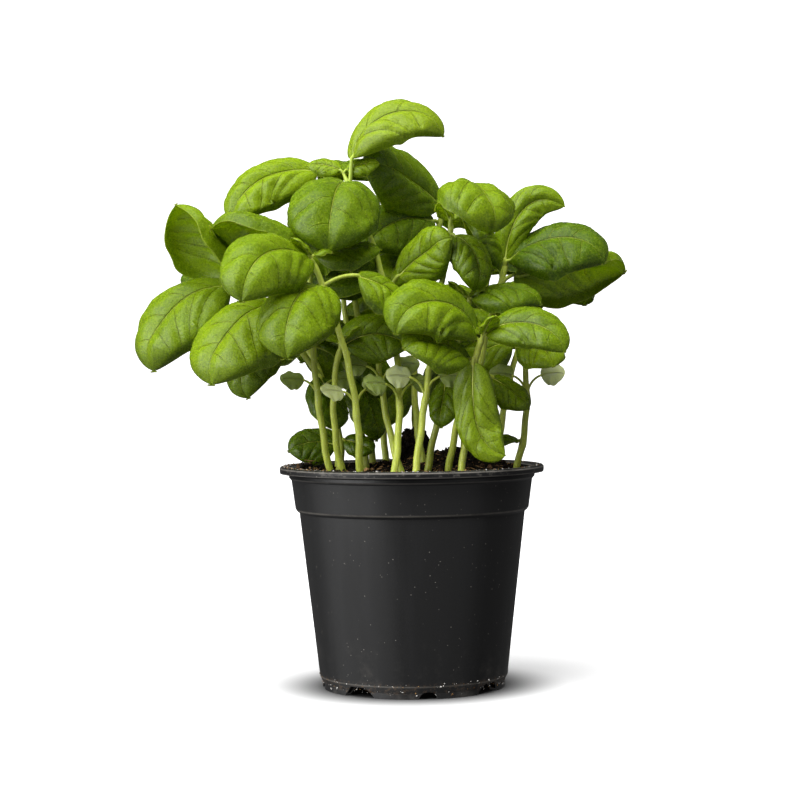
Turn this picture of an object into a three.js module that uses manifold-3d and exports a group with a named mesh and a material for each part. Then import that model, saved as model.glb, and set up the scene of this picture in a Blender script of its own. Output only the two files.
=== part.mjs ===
// A basil plant in a round nursery pot: the pot, the soil block and every leafy stem, in millimetres, +Z up.
// The origin is the middle of the whole plant's footprint, on the surface that it stands on, and -Y faces the
// viewer. The leaves reach out unevenly, so the pot's axis is off the origin. Places below are from that axis.
import * as THREE from "three";
import { mergeVertices } from "three/addons/utils/BufferGeometryUtils.js";
import Module from "manifold-3d";

const wasm = await Module();
wasm.setup();

const AXIS = [11.8, -18.9]; // the pot's axis, from the origin

// The pot's driving sizes: a 12 cm round pot, thin walled.
const POT = {
  rim: 60, // outer radius of the rolled lip
  lip: 3, // depth of the rolled lip
  height: 100.4,
  neck: 55.8, // radius of the bead under the lip
  collar: [54.7, 53], // radius of the stacking collar at its top and bottom
  collarZ: [95, 81.4],
  body: [51.2, 42.7], // radius of the tapered wall at its top and bottom
  bodyZ: [79.4, 5.4],
  foot: 41.4, // radius of the foot ring on the surface
  footWidth: 4.2,
  floor: 5, // height of the floor's underside
  wall: 1,
  edge: 0.7, // what rounds off the ledge, the bead and the lip
  sides: 32,
};
// Four wide gaps in the foot ring, with a low arch between each two, and the drain holes in the floor.
const NOTCH = { arcs: 4, first: -36.4, wide: 19, narrow: 8, height: 4.6, arch: 4.2, rise: 3.2 };
const DRAIN = { radius: 4.5, ring: 25, depth: 4, sides: 8 };

// The soil, in broad waves with small ones on them, which fade out over the edge's width, and the room
// left round it: gap to the wall, step to the ledge.
const SOIL = {
  level: 97.5,
  base: 6.4,
  broad: { high: 1.5, x: 0.11, y: 0.13 },
  small: { high: 0.7, x: 0.37, y: 0.31 },
  edge: 12,
  rings: 6,
  sides: 30,
  gap: 0.35,
  step: 0.7,
  brim: 2,
};
const MOUND = { at: [16, 22], wide: [22, 14], height: 9 };
// An upright lump of peat behind the middle, dented at random.
const CLOD = { at: [1.5, 26], radius: [7.5, 6.5, 13], middle: 5, detail: 2, dent: 0.16 };

const STEM = { radius: 1.7, sides: 6, steps: 5, knots: 12, buried: 14, hole: 2.3, under: 0.4 };
// half is half its thickness, share its length in blade lengths, lift the angle that it starts steeper by.
const PETIOLE = { half: 0.8, steps: 2, share: 0.1, lift: 22, steepest: 1.5 };
// width is in lengths. low and high shape the outline's two ends. curl is the angle that each half bends
// down by, and wave the height of the margin's waves.
const BLADE = {
  thick: 0.7,
  rows: 5,
  cols: 4,
  width: 0.84,
  low: 0.43,
  high: 0.53,
  curl: 64,
  wave: 0.6,
  waves: 2.5,
};
const YOUNG = { steps: 1, rows: 3, cols: 2, rise: 62, droop: 50, petiole: 2.5 };
const SEED_LEAF = {
  steps: 1,
  rows: 3,
  cols: 2,
  length: 11,
  width: 1.1,
  rise: 20,
  droop: 36,
  petiole: 12,
  lift: 38,
  curl: 30,
};

// A leaf that would touch another is turned and lifted by the first of these steps that hangs clear.
const NUDGE = { step: 5, rings: 9, ways: 8 };
const CLEAR = 0.8;
const CROWD = 8; // volume that two leaves of one stem may share where they crowd at its crown

// Each leafy stem: foot [x, y] on the soil, bow [x, y] that bends it, crown [x, y, height over the soil].
// seed: [height, turn, roll] of the pair of seed leaves; bud: [turn, length, roll, rise] of the young pair at
// the crown. The second leaf of a pair points the other way, with its roll the other way too.
// leaves: [height, turn, rise, droop, length, more], sizes in mm, angles in degrees. Turn is 0 to the right
// and -90 to the viewer; rise is the pitch at the leaf's base, which the droop bends down by its tip. In
// more, roll tilts the face sideways, petiole is its length, width and curl are as in BLADE, and hook is how
// far the tip swings to the side, in lengths.
const STEMS = [
  {
    name: "leafy_stem_top",
    foot: [-8, -38], bow: [3, -24], crown: [-30, 0, 136], seed: [30, -150, -50], bud: [170, 16, -55, 34],
    leaves: [
      [129, 0, 87, 146, 60, { roll: 32, petiole: 13, width: 0.66 }],
      [129, -101, 9, 95, 60, { roll: -12, petiole: 4, width: 0.92 }],
      [77, -36, 43, 24, 32, { roll: 82, petiole: 12, width: 0.96 }],
      [80, 165, 25, 70, 42, { petiole: 6 }],
    ],
  },
  {
    name: "leafy_stem_front_left",
    foot: [-23.3, -32], bow: [-21, -40], crown: [-43, -45, 95], seed: [27, -150, -40], bud: [40, 13],
    leaves: [
      [91, -127, 35, 112, 59, { roll: -36, petiole: 4, width: 0.78 }],
      [80, -114, 13, 108, 56, { roll: -9, petiole: 5, width: 0.9, curl: 80 }],
      [83, 5, -5, 74, 33, { roll: 35, petiole: 16, width: 0.9 }],
    ],
  },
  {
    name: "leafy_stem_front_right",
    foot: [16, -25], bow: [20, -33], crown: [31, -47, 60], bud: [-60, 14],
    leaves: [
      [56, -160, 82, 154, 56, { roll: -50, petiole: 3, width: 0.75 }],
      [59, -23, 42, 108, 44, { roll: 48, petiole: 3, width: 0.62 }],
      [53, 180, -86, 10, 55, { roll: -76, petiole: 4, width: 0.36, hook: -0.25, curl: 50 }],
      [48, -150, 46, 70, 36, { roll: -42, petiole: 3, width: 0.92 }],
    ],
  },
  {
    name: "leafy_stem_right",
    foot: [21.5, -32], bow: [28, -22], crown: [44, -5, 95],
    leaves: [
      [91, 4, 84, 36, 54, { roll: 78, petiole: 4, width: 0.34, hook: 0.35 }],
      [91, -13, 50, 100, 53, { roll: 37, petiole: 4, width: 0.9 }],
      [83, 14, 16, 22, 55, { roll: -32, petiole: 9, width: 0.84 }],
      [87, -160, 102, 92, 35, { roll: -20, petiole: 3, width: 1, curl: 85 }],
      [43, -10, -24, 30, 22, { roll: 38, petiole: 7, width: 1 }],
    ],
  },
  {
    name: "leafy_stem_middle",
    foot: [1.2, -40], bow: [9, -33], crown: [18.5, -20, 111], seed: [33, -172, -60], bud: [60, 13],
    leaves: [
      [108, -61, 47, 154, 52, { roll: -6, petiole: 15, width: 0.88 }],
      [105, -57, -14, 120, 36, { roll: 14, petiole: 3, width: 0.78, curl: 85 }],
    ],
  },
  {
    name: "leafy_stem_left",
    foot: [-36.5, -18], bow: [-46, -24], crown: [-44, -25, 106], seed: [32, -168, -45], bud: [-60, 13, 30, -10],
    leaves: [
      [96, -172, 46, 50, 46, { roll: 34, petiole: 3, width: 0.95, curl: 80 }],
      [71, -147, 0, 84, 58, { roll: -22, petiole: 15, width: 1 }],
      [96, 10, 12, 24, 30, { roll: 22, width: 0.95 }],
      [67, 80, 20, 60, 36, {}],
    ],
  },
  {
    name: "leafy_stem_far_left",
    foot: [-33, 5], bow: [-27, 4], crown: [-82, -4, 88],
    leaves: [
      [85, -152, 63, 22, 44, { roll: 11, petiole: 4, width: 1.15, curl: 78 }],
      [83, -162, 4, 98, 63, { roll: -28, petiole: 6 }],
      [62, -152, -2, 114, 42, { roll: -38, petiole: 4, width: 0.8 }],
      [44, -62, -30, 50, 30, {}],
      [11, 180, 22, 56, 24, { roll: -58, petiole: 2, width: 1.05 }],
      [14, -8, 0, 40, 16, { roll: 50, petiole: 2, width: 1 }],
    ],
  },
  {
    name: "leafy_stem_short_left",
    foot: [-30.7, -20], bow: [-38, -25], crown: [-31, -33, 57], bud: [150, 13],
    leaves: [[53, -4, 40, 84, 32, { roll: 72, petiole: 5, width: 0.96 }]],
  },
  {
    name: "leafy_stem_upper_left",
    foot: [-18, 22], bow: [-20, 24], crown: [-39, 16, 140],
    leaves: [
      [135, -165, 17, 92, 54, { roll: -41, petiole: 5, width: 0.68 }],
      [136, 62, 30, 60, 40, {}],
      [88, -85, 15, 64, 42, {}],
      [88, 110, 20, 60, 44, {}],
    ],
  },
  {
    name: "leafy_stem_upper_right",
    foot: [5.7, 5], bow: [-6, 14], crown: [17, 36, 122], bud: [-20, 16],
    leaves: [
      [120, -138, 44, 44, 50, { roll: -75, petiole: 3, width: 0.84 }],
      [114, -136, 16, 66, 45, { roll: -50, petiole: 3, width: 0.87 }],
      [116, 42, 25, 62, 44, {}],
      [80, 132, 15, 60, 44, {}],
      [80, -48, 20, 60, 40, {}],
    ],
  },
  {
    name: "leafy_stem_edge_right",
    foot: [47, -5], bow: [57, -13], crown: [47, -14, 68], seed: [33, -10, 60], bud: [-60, 12],
    leaves: [
      [60, -61, -9, 38, 27, { roll: 24, petiole: 4, width: 1 }],
      [65, 84, 20, 60, 38, {}],
      [12, 170, 40, 110, 22, {}],
    ],
  },
  {
    name: "leafy_stem_inner_right",
    foot: [6.8, -12], bow: [14, -14], crown: [26, -24, 77], bud: [24, 12],
    leaves: [
      [75, -16, 32, 79, 36, { roll: 18, petiole: 3, width: 0.95 }],
      [42, -104, -26, 66, 26, { roll: 15, petiole: 3, width: 0.78 }],
    ],
  },
  {
    name: "leafy_stem_inner_left",
    foot: [-4.5, -30], bow: [-15, -25], crown: [-15, -19, 66], seed: [38, -176, -50],
    leaves: [[64, 95, 26, 60, 30, {}]],
  },
  {
    name: "leafy_stem_behind_left",
    foot: [-20.5, 10], bow: [-26, 10], crown: [-32, 22, 88],
    leaves: [
      [44, -42, -50, 40, 32, {}],
      [58, 5, -35, 45, 30, { roll: 40 }],
      [64, 100, 15, 60, 42, {}],
      [86, 172, 30, 60, 44, {}],
    ],
  },
  {
    name: "leafy_stem_on_clod",
    foot: [3, 27], bow: [0, 34], crown: [4, 52, 104], bud: [0, 13],
    leaves: [
      [102, 92, 30, 62, 46, {}],
      [101, -104, -7, 55, 40, { roll: -22, petiole: 11, width: 0.74 }],
      [72, 0, 12, 60, 44, {}],
      [48, -150, -40, 30, 36, { roll: -20 }],
    ],
  },
  {
    name: "leafy_stem_back_far_left",
    foot: [-34, 24], bow: [-32, 26], crown: [-72, 40, 90], bud: [-20, 13],
    leaves: [
      [88, 142, 30, 66, 50, {}],
      [88, -150, 25, 60, 40, {}],
      [58, 60, 10, 60, 44, {}],
      [58, 150, 8, 60, 44, {}],
    ],
  },
  {
    name: "leafy_stem_back_left",
    foot: [-12, 41], bow: [-14, 52], crown: [-26, 74, 98], bud: [20, 13],
    leaves: [
      [96, 112, 32, 66, 52, {}],
      [96, -165, 28, 60, 46, {}],
      [66, 35, 10, 60, 46, {}],
      [66, 160, 8, 60, 46, {}],
    ],
  },
  {
    name: "leafy_stem_back_right",
    foot: [24, 38], bow: [28, 48], crown: [40, 70, 96], bud: [150, 13],
    leaves: [
      [94, 65, 30, 66, 50, {}],
      [94, -15, 26, 60, 44, {}],
      [64, 135, 10, 60, 46, {}],
      [64, 0, 8, 60, 40, {}],
    ],
  },
  {
    name: "leafy_stem_back_far_right",
    foot: [39, 17], bow: [44, 22], crown: [62, 40, 88], bud: [90, 13],
    leaves: [
      [86, 52, 28, 66, 42, {}],
      [86, 120, 26, 60, 44, {}],
      [58, -170, -5, 50, 40, { roll: -30 }],
    ],
  },
];

const TOUCH = 1e-4; // points closer than this are one
const rad = THREE.MathUtils.degToRad;
const mix = THREE.MathUtils.lerp;

// A closed geometry as a solid.
function solidOf(geometry) {
  const bare = geometry.clone();
  bare.deleteAttribute("normal");
  bare.deleteAttribute("uv");
  const merged = mergeVertices(bare, TOUCH);
  return new wasm.Manifold(
    new wasm.Mesh({
      numProp: 3,
      vertProperties: merged.attributes.position.array,
      triVerts: new Uint32Array(merged.index.array),
    }),
  );
}

// A solid as a geometry that three.js draws.
function geometryOf(solid) {
  const mesh = solid.getMesh();
  const geometry = new THREE.BufferGeometry();
  geometry.setAttribute("position", new THREE.BufferAttribute(mesh.vertProperties, 3));
  geometry.setIndex(new THREE.BufferAttribute(mesh.triVerts, 1));
  geometry.computeVertexNormals();
  return geometry;
}

// A tube with closed ends along a curve.
function tube(curve, radius, sides, steps) {
  const section = new THREE.Shape(
    Array.from({ length: sides }, (_, k) => {
      const turn = (2 * Math.PI * k) / sides;
      return new THREE.Vector2(radius * Math.cos(turn), radius * Math.sin(turn));
    }),
  );
  return solidOf(new THREE.ExtrudeGeometry(section, { steps, extrudePath: curve }));
}

// The pot

function potWall() {
  const p = POT;
  const outside = [
    [p.foot - p.footWidth, 0],
    [p.foot, 0],
    [p.body[1], p.bodyZ[1]],
    [p.body[0], p.bodyZ[0]],
    [p.collar[1] - p.edge, p.bodyZ[0] + p.edge],
    [p.collar[1], p.collarZ[1]],
    [p.collar[0], p.collarZ[0]],
    [p.neck, p.collarZ[0] + p.edge],
    [p.neck, p.height - p.lip],
    [p.rim, p.height - p.lip],
    [p.rim, p.height - p.edge],
    [p.rim - p.edge, p.height],
  ];
  const inside = [
    [p.collar[0] - p.wall, p.height],
    [p.collar[1] - p.wall, p.collarZ[1]],
    [p.body[0] - p.wall, p.bodyZ[0]],
    [p.body[1] - p.wall, p.bodyZ[1]],
    [p.foot - p.wall, p.wall],
    [p.foot - p.footWidth + p.wall, p.wall],
    [p.foot - p.footWidth, p.floor + p.wall],
  ];
  const under = [
    [0, p.floor],
    [p.foot - p.footWidth - p.edge, p.floor],
  ];
  const profile = [...under, ...outside, ...inside, [0, p.floor + p.wall]];
  const points = profile.map(([r, z]) => new THREE.Vector2(r, z));
  return solidOf(new THREE.LatheGeometry(points, p.sides).rotateX(Math.PI / 2));
}

// What is cut through the foot ring: drawn as a flat shape, pushed out along a radius at the given angle.
function footCutter(shape, angle) {
  const depth = 3 * POT.footWidth; // past the ring on both sides
  const cutter = new THREE.ExtrudeGeometry(shape, { depth, bevelEnabled: false, curveSegments: 4 });
  cutter.rotateX(Math.PI / 2).translate(0, -(POT.foot - 2 * POT.footWidth), 0);
  return solidOf(cutter.rotateZ(rad(angle)));
}

function pot() {
  const n = NOTCH;
  const under = 1; // the cutters start this far below the foot
  const gap = new THREE.Shape();
  gap.moveTo(-n.wide / 2, -under);
  gap.lineTo(n.wide / 2, -under);
  gap.lineTo(n.narrow / 2, n.height);
  gap.lineTo(-n.narrow / 2, n.height);
  gap.closePath();
  const arch = new THREE.Shape();
  arch.moveTo(-n.arch, -under);
  arch.lineTo(n.arch, -under);
  arch.lineTo(n.arch, 0);
  arch.ellipse(-n.arch, 0, n.arch, n.rise, 0, Math.PI, false);
  arch.closePath();
  const between = 360 / n.arcs;
  let wall = potWall();
  for (let k = 0; k < n.arcs; k++) {
    const turn = n.first + k * between;
    const hole = new THREE.CylinderGeometry(DRAIN.radius, DRAIN.radius, DRAIN.depth, DRAIN.sides);
    hole.rotateX(Math.PI / 2).translate(0, -DRAIN.ring, POT.floor);
    wall = wall
      .subtract(footCutter(gap, turn))
      .subtract(footCutter(arch, turn + between / 2))
      .subtract(solidOf(hole.rotateZ(rad(turn))));
  }
  return wall;
}

// The soil

// Height of the soil's upper face: nearly level with the rim, uneven, with a low mound behind the middle.
function soilHeight(x, y) {
  const { broad, small, edge, level } = SOIL;
  const swell = broad.high * Math.sin(x * broad.x + 1) * Math.cos(y * broad.y);
  const ripple = small.high * Math.sin(x * small.x - y * small.y);
  const fade = Math.min(1, (POT.collar[0] - Math.hypot(x, y)) / edge);
  const [fromX, fromY] = [(x - MOUND.at[0]) / MOUND.wide[0], (y - MOUND.at[1]) / MOUND.wide[1]];
  return level + (swell + ripple) * fade + MOUND.height * Math.exp(-(fromX ** 2) - fromY ** 2);
}

// The pot's inner radius at a height, less the gap round the soil.
function soilRadius(z) {
  const p = POT;
  const radius =
    z > p.collarZ[1]
      ? mix(p.collar[1], p.collar[0], (z - p.collarZ[1]) / (p.height - p.collarZ[1]))
      : mix(p.body[1], p.body[0], (z - p.bodyZ[1]) / (p.bodyZ[0] - p.bodyZ[1]));
  return radius - p.wall - SOIL.gap;
}

// The lump of peat: a ball stretched upright and dented by two crossing waves.
function clod() {
  const { at, radius, middle, detail, dent } = CLOD;
  const ball = new THREE.IcosahedronGeometry(1, detail);
  const points = ball.attributes.position;
  for (let k = 0; k < points.count; k++) {
    const [x, y, z] = [points.getX(k), points.getY(k), points.getZ(k)];
    const far = 1 + dent * Math.sin(4 * x + 3 * z) * Math.cos(5 * y - 2 * z);
    points.setXYZ(k, x * far, y * far, z * far);
  }
  return solidOf(ball.scale(...radius).translate(...at, SOIL.level + middle));
}

function soilBlock() {
  const positions = [];
  const faces = [];
  const ringAt = (radius, height) => {
    for (let k = 0; k < SOIL.sides; k++) {
      const turn = (2 * Math.PI * k) / SOIL.sides;
      const x = radius * Math.cos(turn);
      const y = radius * Math.sin(turn);
      positions.push(x, y, height(x, y));
    }
  };
  const [under, over] = [POT.bodyZ[0] - SOIL.step, POT.collarZ[1] + SOIL.step];
  const wall = [
    [soilRadius(SOIL.base), SOIL.base],
    [soilRadius(under), under],
    [soilRadius(under), over],
    [soilRadius(over), over + SOIL.gap],
  ];
  wall.forEach(([radius, z]) => ringAt(radius, () => z));
  const brim = soilRadius(SOIL.level - SOIL.brim);
  for (let k = 0; k < SOIL.rings; k++) ringAt(brim * (1 - k / SOIL.rings), soilHeight);
  const rings = positions.length / 3 / SOIL.sides;
  for (let r = 0; r + 1 < rings; r++)
    for (let k = 0; k < SOIL.sides; k++) {
      const a = r * SOIL.sides + k;
      const b = r * SOIL.sides + ((k + 1) % SOIL.sides);
      faces.push(a, b, b + SOIL.sides, a, b + SOIL.sides, a + SOIL.sides);
    }
  const bottom = positions.length / 3;
  positions.push(0, 0, SOIL.base, 0, 0, soilHeight(0, 0));
  const last = (rings - 1) * SOIL.sides;
  for (let k = 0; k < SOIL.sides; k++) {
    const next = (k + 1) % SOIL.sides;
    faces.push(bottom, next, k, bottom + 1, last + k, last + next);
  }
  const geometry = new THREE.BufferGeometry();
  geometry.setAttribute("position", new THREE.Float32BufferAttribute(positions, 3));
  geometry.setIndex(faces);
  return solidOf(geometry).add(clod());
}

// The stems

// The middle line of a stem at a height over the soil, which may be below it.
function stemPoint(stem, height) {
  const [cx, cy, top] = stem.crown;
  const u = height / top;
  const ends = Math.max(u, 0);
  const bend = (a, b, c) => (1 - ends) ** 2 * a + 2 * ends * (1 - ends) * b + ends ** 2 * c;
  const sink = Math.min(u, 0) * 2; // the buried end runs on straight
  const x = bend(stem.foot[0], stem.bow[0], cx) + sink * (stem.bow[0] - stem.foot[0]);
  const y = bend(stem.foot[1], stem.bow[1], cy) + sink * (stem.bow[1] - stem.foot[1]);
  return new THREE.Vector3(x, y, SOIL.level + height);
}

// A stem from a height over the soil, or below it, up to its crown. Its hole in the soil is a wider one.
function stemTube(stem, from, radius) {
  const { knots } = STEM;
  const heights = Array.from({ length: knots }, (_, k) => mix(from, stem.crown[2], k / (knots - 1)));
  const points = heights.map((height) => stemPoint(stem, height));
  return tube(new THREE.CatmullRomCurve3(points), radius, STEM.sides, STEM.steps);
}

// The leaves

// Direction of a heading and a pitch, both in radians.
function heading(turn, pitch) {
  return new THREE.Vector3(Math.cos(pitch) * Math.cos(turn), Math.cos(pitch) * Math.sin(turn), Math.sin(pitch));
}

// The sideways and the outward directions of a leaf at a pitch, tilted by the roll.
function facing(turn, pitch, roll) {
  const up = heading(turn, pitch + Math.PI / 2);
  const right = heading(turn, pitch).cross(up);
  const face = up.clone().multiplyScalar(Math.cos(roll)).addScaledVector(right, Math.sin(roll));
  const side = right.multiplyScalar(Math.cos(roll)).addScaledVector(up, -Math.sin(roll));
  return { side, face };
}

// Where the petiole ends and the blade begins.
function bladeBase(leaf) {
  const pitch = Math.min(leaf.rise + leaf.lift, PETIOLE.steepest);
  return leaf.node.clone().addScaledVector(heading(leaf.turn, pitch), leaf.petiole);
}

// A point of the petiole at u, from the stem (0) to the blade (1), with its directions there.
// It leaves the stem steeply and bends over into the blade's own pitch.
function petioleAt(leaf, u) {
  const end = bladeBase(leaf);
  const knee = end.clone().addScaledVector(heading(leaf.turn, leaf.rise), -leaf.petiole / 2);
  const early = knee.clone().sub(leaf.node);
  const late = end.clone().sub(knee);
  const point = leaf.node
    .clone()
    .addScaledVector(early, 2 * u - u * u)
    .addScaledVector(late, u * u);
  const along = early.multiplyScalar(1 - u).addScaledVector(late, u);
  const pitch = Math.atan2(along.z, along.dot(heading(leaf.turn, 0)));
  return { point, ...facing(leaf.turn, pitch, leaf.roll * u) };
}

// Half the blade's width at s, from its base (0) to its tip (1): pointed at both ends.
function halfWidth(leaf, s) {
  const { low, high } = BLADE;
  const widest = (low ** low * high ** high) / (low + high) ** (low + high);
  return (leaf.length * leaf.width * 0.5 * s ** low * (1 - s) ** high) / widest;
}

// A point of the blade: s along the midrib, t across it (-1 to 1), deep below the upper face.
// The midrib is an arc that droops, and may hook sideways, and the blade curls down round it to both sides.
function bladePoint(leaf, s, t, deep) {
  const aside = leaf.hook * s ** 3;
  const swept = Math.atan2(3 * leaf.hook * s * s, 1 - 3 * Math.abs(leaf.hook) * s * s);
  const pitch = leaf.rise - leaf.droop * (s - Math.abs(aside));
  const run = (leaf.length * (Math.sin(leaf.rise) - Math.sin(pitch))) / leaf.droop;
  const climb = (leaf.length * (Math.cos(pitch) - Math.cos(leaf.rise))) / leaf.droop;
  const point = bladeBase(leaf).addScaledVector(heading(leaf.turn, 0), run);
  point.z += climb;
  const { side, face } = facing(leaf.turn, pitch, leaf.roll);
  point.addScaledVector(side, leaf.length * aside);
  side.multiplyScalar(Math.cos(swept)).addScaledVector(heading(leaf.turn, pitch), -Math.sin(swept));
  const bend = leaf.curl * t;
  const radius = halfWidth(leaf, s) / leaf.curl;
  const out = (radius - deep) * Math.sin(bend);
  const drop = radius - (radius - deep) * Math.cos(bend);
  const swing = Math.sin(2 * Math.PI * BLADE.waves * s + 2 * Math.sign(t) + leaf.turn);
  const wave = BLADE.wave * t * t * swing * Math.sin(Math.PI * s);
  return point.addScaledVector(side, out).addScaledVector(face, wave - drop);
}

// A leaf as one closed solid. Each line across it is cols + 1 points on the upper face and as many on the
// lower one, so that both are split into the same triangles. The petiole's lines are two points wide.
function leafSolid(leaf) {
  const { rows, cols } = leaf;
  const lines = [];
  const addLine = (place) => {
    const across = Array.from({ length: cols + 1 }, (_, j) => (2 * j) / cols - 1);
    lines.push([0, 1].map((lower) => across.map((t) => place(t, lower))));
  };
  for (let k = 0; k <= leaf.steps; k++) {
    const { point, side, face } = petioleAt(leaf, k / leaf.steps);
    addLine((t, lower) =>
      point
        .clone()
        .addScaledVector(side, t < 0 ? -PETIOLE.half : PETIOLE.half)
        .addScaledVector(face, -2 * PETIOLE.half * lower),
    );
  }
  for (let i = 1; i <= rows; i++) {
    const s = (1 - Math.cos((Math.PI * i) / rows)) / 2; // closer together towards both ends
    const wide = i < rows ? 1 : 0; // the tip is one point wide
    addLine((t, lower) => bladePoint(leaf, s, t * wide, BLADE.thick * lower));
  }
  const points = lines.flat(2);
  const at = (line, lower, j) => (line * 2 + lower) * (cols + 1) + j;
  const faces = [];
  const quad = (a, b, c, d) => faces.push([a, b, c], [a, c, d]);
  for (let j = 0; j < cols; j++) quad(at(0, 0, j), at(0, 1, j), at(0, 1, j + 1), at(0, 0, j + 1));
  for (let i = 0; i + 1 < lines.length; i++) {
    for (let j = 0; j < cols; j++) {
      quad(at(i, 0, j), at(i, 0, j + 1), at(i + 1, 0, j + 1), at(i + 1, 0, j));
      faces.push([at(i, 1, j), at(i + 1, 1, j + 1), at(i, 1, j + 1)]);
      faces.push([at(i, 1, j), at(i + 1, 1, j), at(i + 1, 1, j + 1)]);
    }
    quad(at(i, 0, 0), at(i + 1, 0, 0), at(i + 1, 1, 0), at(i, 1, 0));
    quad(at(i, 0, cols), at(i, 1, cols), at(i + 1, 1, cols), at(i + 1, 0, cols));
  }
  const same = (a, b) => points[a].distanceTo(points[b]) < TOUCH;
  const real = faces.filter(([a, b, c]) => !same(a, b) && !same(b, c) && !same(c, a));
  const geometry = new THREE.BufferGeometry().setFromPoints(points);
  geometry.setIndex(real.flat());
  return solidOf(geometry);
}

function leafOf(stem, height, turn, rise, droop, length, more = {}) {
  return {
    node: stemPoint(stem, height),
    turn: rad(turn),
    rise: rad(rise),
    droop: rad(droop),
    length,
    roll: rad(more.roll ?? 0),
    petiole: more.petiole ?? PETIOLE.share * length,
    lift: rad(more.lift ?? PETIOLE.lift),
    width: more.width ?? BLADE.width,
    curl: rad(more.curl ?? BLADE.curl),
    hook: more.hook ?? 0,
    steps: more.steps ?? PETIOLE.steps,
    rows: more.rows ?? BLADE.rows,
    cols: more.cols ?? BLADE.cols,
  };
}

// All the leaves of a stem: the grown ones, the young pair at the crown and the pair of seed leaves.
function leavesOf(stem) {
  const leaves = stem.leaves.map((row) => leafOf(stem, ...row));
  for (const side of [0, 180]) {
    if (stem.bud) {
      const [turn, length, roll = 0, rise = YOUNG.rise] = stem.bud;
      const more = { ...YOUNG, roll: side ? -roll : roll };
      const top = stem.crown[2] - STEM.radius / 2;
      leaves.push(leafOf(stem, top, turn + side, rise, YOUNG.droop, length, more));
    }
    if (stem.seed) {
      const [height, turn, roll] = stem.seed;
      const { rise, droop, length } = SEED_LEAF;
      const more = { ...SEED_LEAF, roll: side ? -roll : roll };
      leaves.push(leafOf(stem, height, turn + side, rise, droop, length, more));
    }
  }
  return leaves;
}

// The steps that a leaf may be turned and lifted by, in radians, the smallest first.
function nudges() {
  const found = [[0, 0]];
  for (let ring = 1; ring <= NUDGE.rings; ring++)
    for (let way = 0; way < NUDGE.ways; way++) {
      const angle = (2 * Math.PI * way) / NUDGE.ways;
      const far = rad(NUDGE.step * ring);
      found.push([far * Math.cos(angle), far * Math.sin(angle)]);
    }
  return found;
}

// What is in a leaf's way: any part of another stem within the clearance, or a leaf of its own that it
// crosses.
function blocks(thing, leaf) {
  if (thing.stem === leaf.stem && thing.isStem) return false;
  for (let axis = 0; axis < 3; axis++) {
    if (thing.box.min[axis] > leaf.box.max[axis] + CLEAR) return false;
    if (leaf.box.min[axis] > thing.box.max[axis] + CLEAR) return false;
  }
  if (thing.stem === leaf.stem) return thing.solid.intersect(leaf.solid).volume() > CROWD;
  return thing.solid.minGap(leaf.solid, CLEAR) < CLEAR;
}

function placed(solid, stem, isStem = false) {
  return { solid, stem, isStem, box: solid.boundingBox() };
}

// The leaf in the first place where it hangs clear of everything placed before it, or nothing.
function settle(leaf, stem, things) {
  for (const [turn, lift] of nudges()) {
    const tried = placed(leafSolid({ ...leaf, turn: leaf.turn + turn, rise: leaf.rise + lift }), stem);
    if (!things.some((thing) => blocks(thing, tried))) return [tried];
  }
  return [];
}

// The whole plant

const basil = new THREE.Group();
const finish = {
  pot: new THREE.MeshStandardMaterial({ color: 0x2b2b2c, roughness: 0.42 }),
  soil: new THREE.MeshStandardMaterial({ color: 0x2a1d12, roughness: 1 }),
  leaf: new THREE.MeshStandardMaterial({ color: 0x5f9414, roughness: 0.45 }),
};

function addNode(name, solid, material) {
  const mesh = new THREE.Mesh(geometryOf(solid), material);
  mesh.name = name;
  mesh.position.set(...AXIS, 0);
  basil.add(mesh);
}

const potSolid = pot();
let soilSolid = soilBlock();
const things = [placed(potSolid, null), placed(soilSolid, null)];
const stalks = STEMS.map((stem) => {
  const foot = soilHeight(stem.foot[0], stem.foot[1]) - SOIL.level;
  soilSolid = soilSolid.subtract(stemTube(stem, foot - STEM.buried - STEM.under, STEM.hole));
  const stalk = stemTube(stem, foot - STEM.buried, STEM.radius);
  things.push(placed(stalk, stem, true));
  return stalk;
});
STEMS.forEach((stem, k) => {
  let whole = stalks[k];
  for (const leaf of leavesOf(stem)) {
    const found = settle(leaf, stem, things);
    things.push(...found);
    for (const { solid } of found) whole = whole.add(solid);
  }
  addNode(stem.name, whole, finish.leaf);
});
addNode("pot", potSolid, finish.pot);
addNode("soil", soilSolid, finish.soil);

export default basil;
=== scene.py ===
"""A basil plant in a round black nursery pot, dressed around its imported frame.

The leafy stems, the soil and the pot are rebuilt finer in the places and forms of the frame's solids. Lengths in
the tables below are in millimetres from the pot's axis, +Z up, and -Y faces the viewer.
"""

import math
from contextlib import contextmanager
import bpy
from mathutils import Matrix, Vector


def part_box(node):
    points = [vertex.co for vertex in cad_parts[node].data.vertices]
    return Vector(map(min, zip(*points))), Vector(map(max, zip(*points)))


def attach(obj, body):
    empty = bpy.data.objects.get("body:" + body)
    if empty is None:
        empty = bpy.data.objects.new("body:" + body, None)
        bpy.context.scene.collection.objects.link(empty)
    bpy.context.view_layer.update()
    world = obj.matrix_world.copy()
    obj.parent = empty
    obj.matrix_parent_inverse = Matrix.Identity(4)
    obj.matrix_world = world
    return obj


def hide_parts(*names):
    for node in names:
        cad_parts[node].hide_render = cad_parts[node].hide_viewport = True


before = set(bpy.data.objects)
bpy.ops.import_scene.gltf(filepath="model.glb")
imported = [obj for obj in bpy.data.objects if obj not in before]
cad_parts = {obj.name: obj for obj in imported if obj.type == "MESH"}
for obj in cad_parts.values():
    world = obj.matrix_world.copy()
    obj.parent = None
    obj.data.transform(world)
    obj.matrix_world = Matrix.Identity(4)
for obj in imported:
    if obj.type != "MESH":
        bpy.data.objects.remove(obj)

from types import SimpleNamespace

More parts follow.
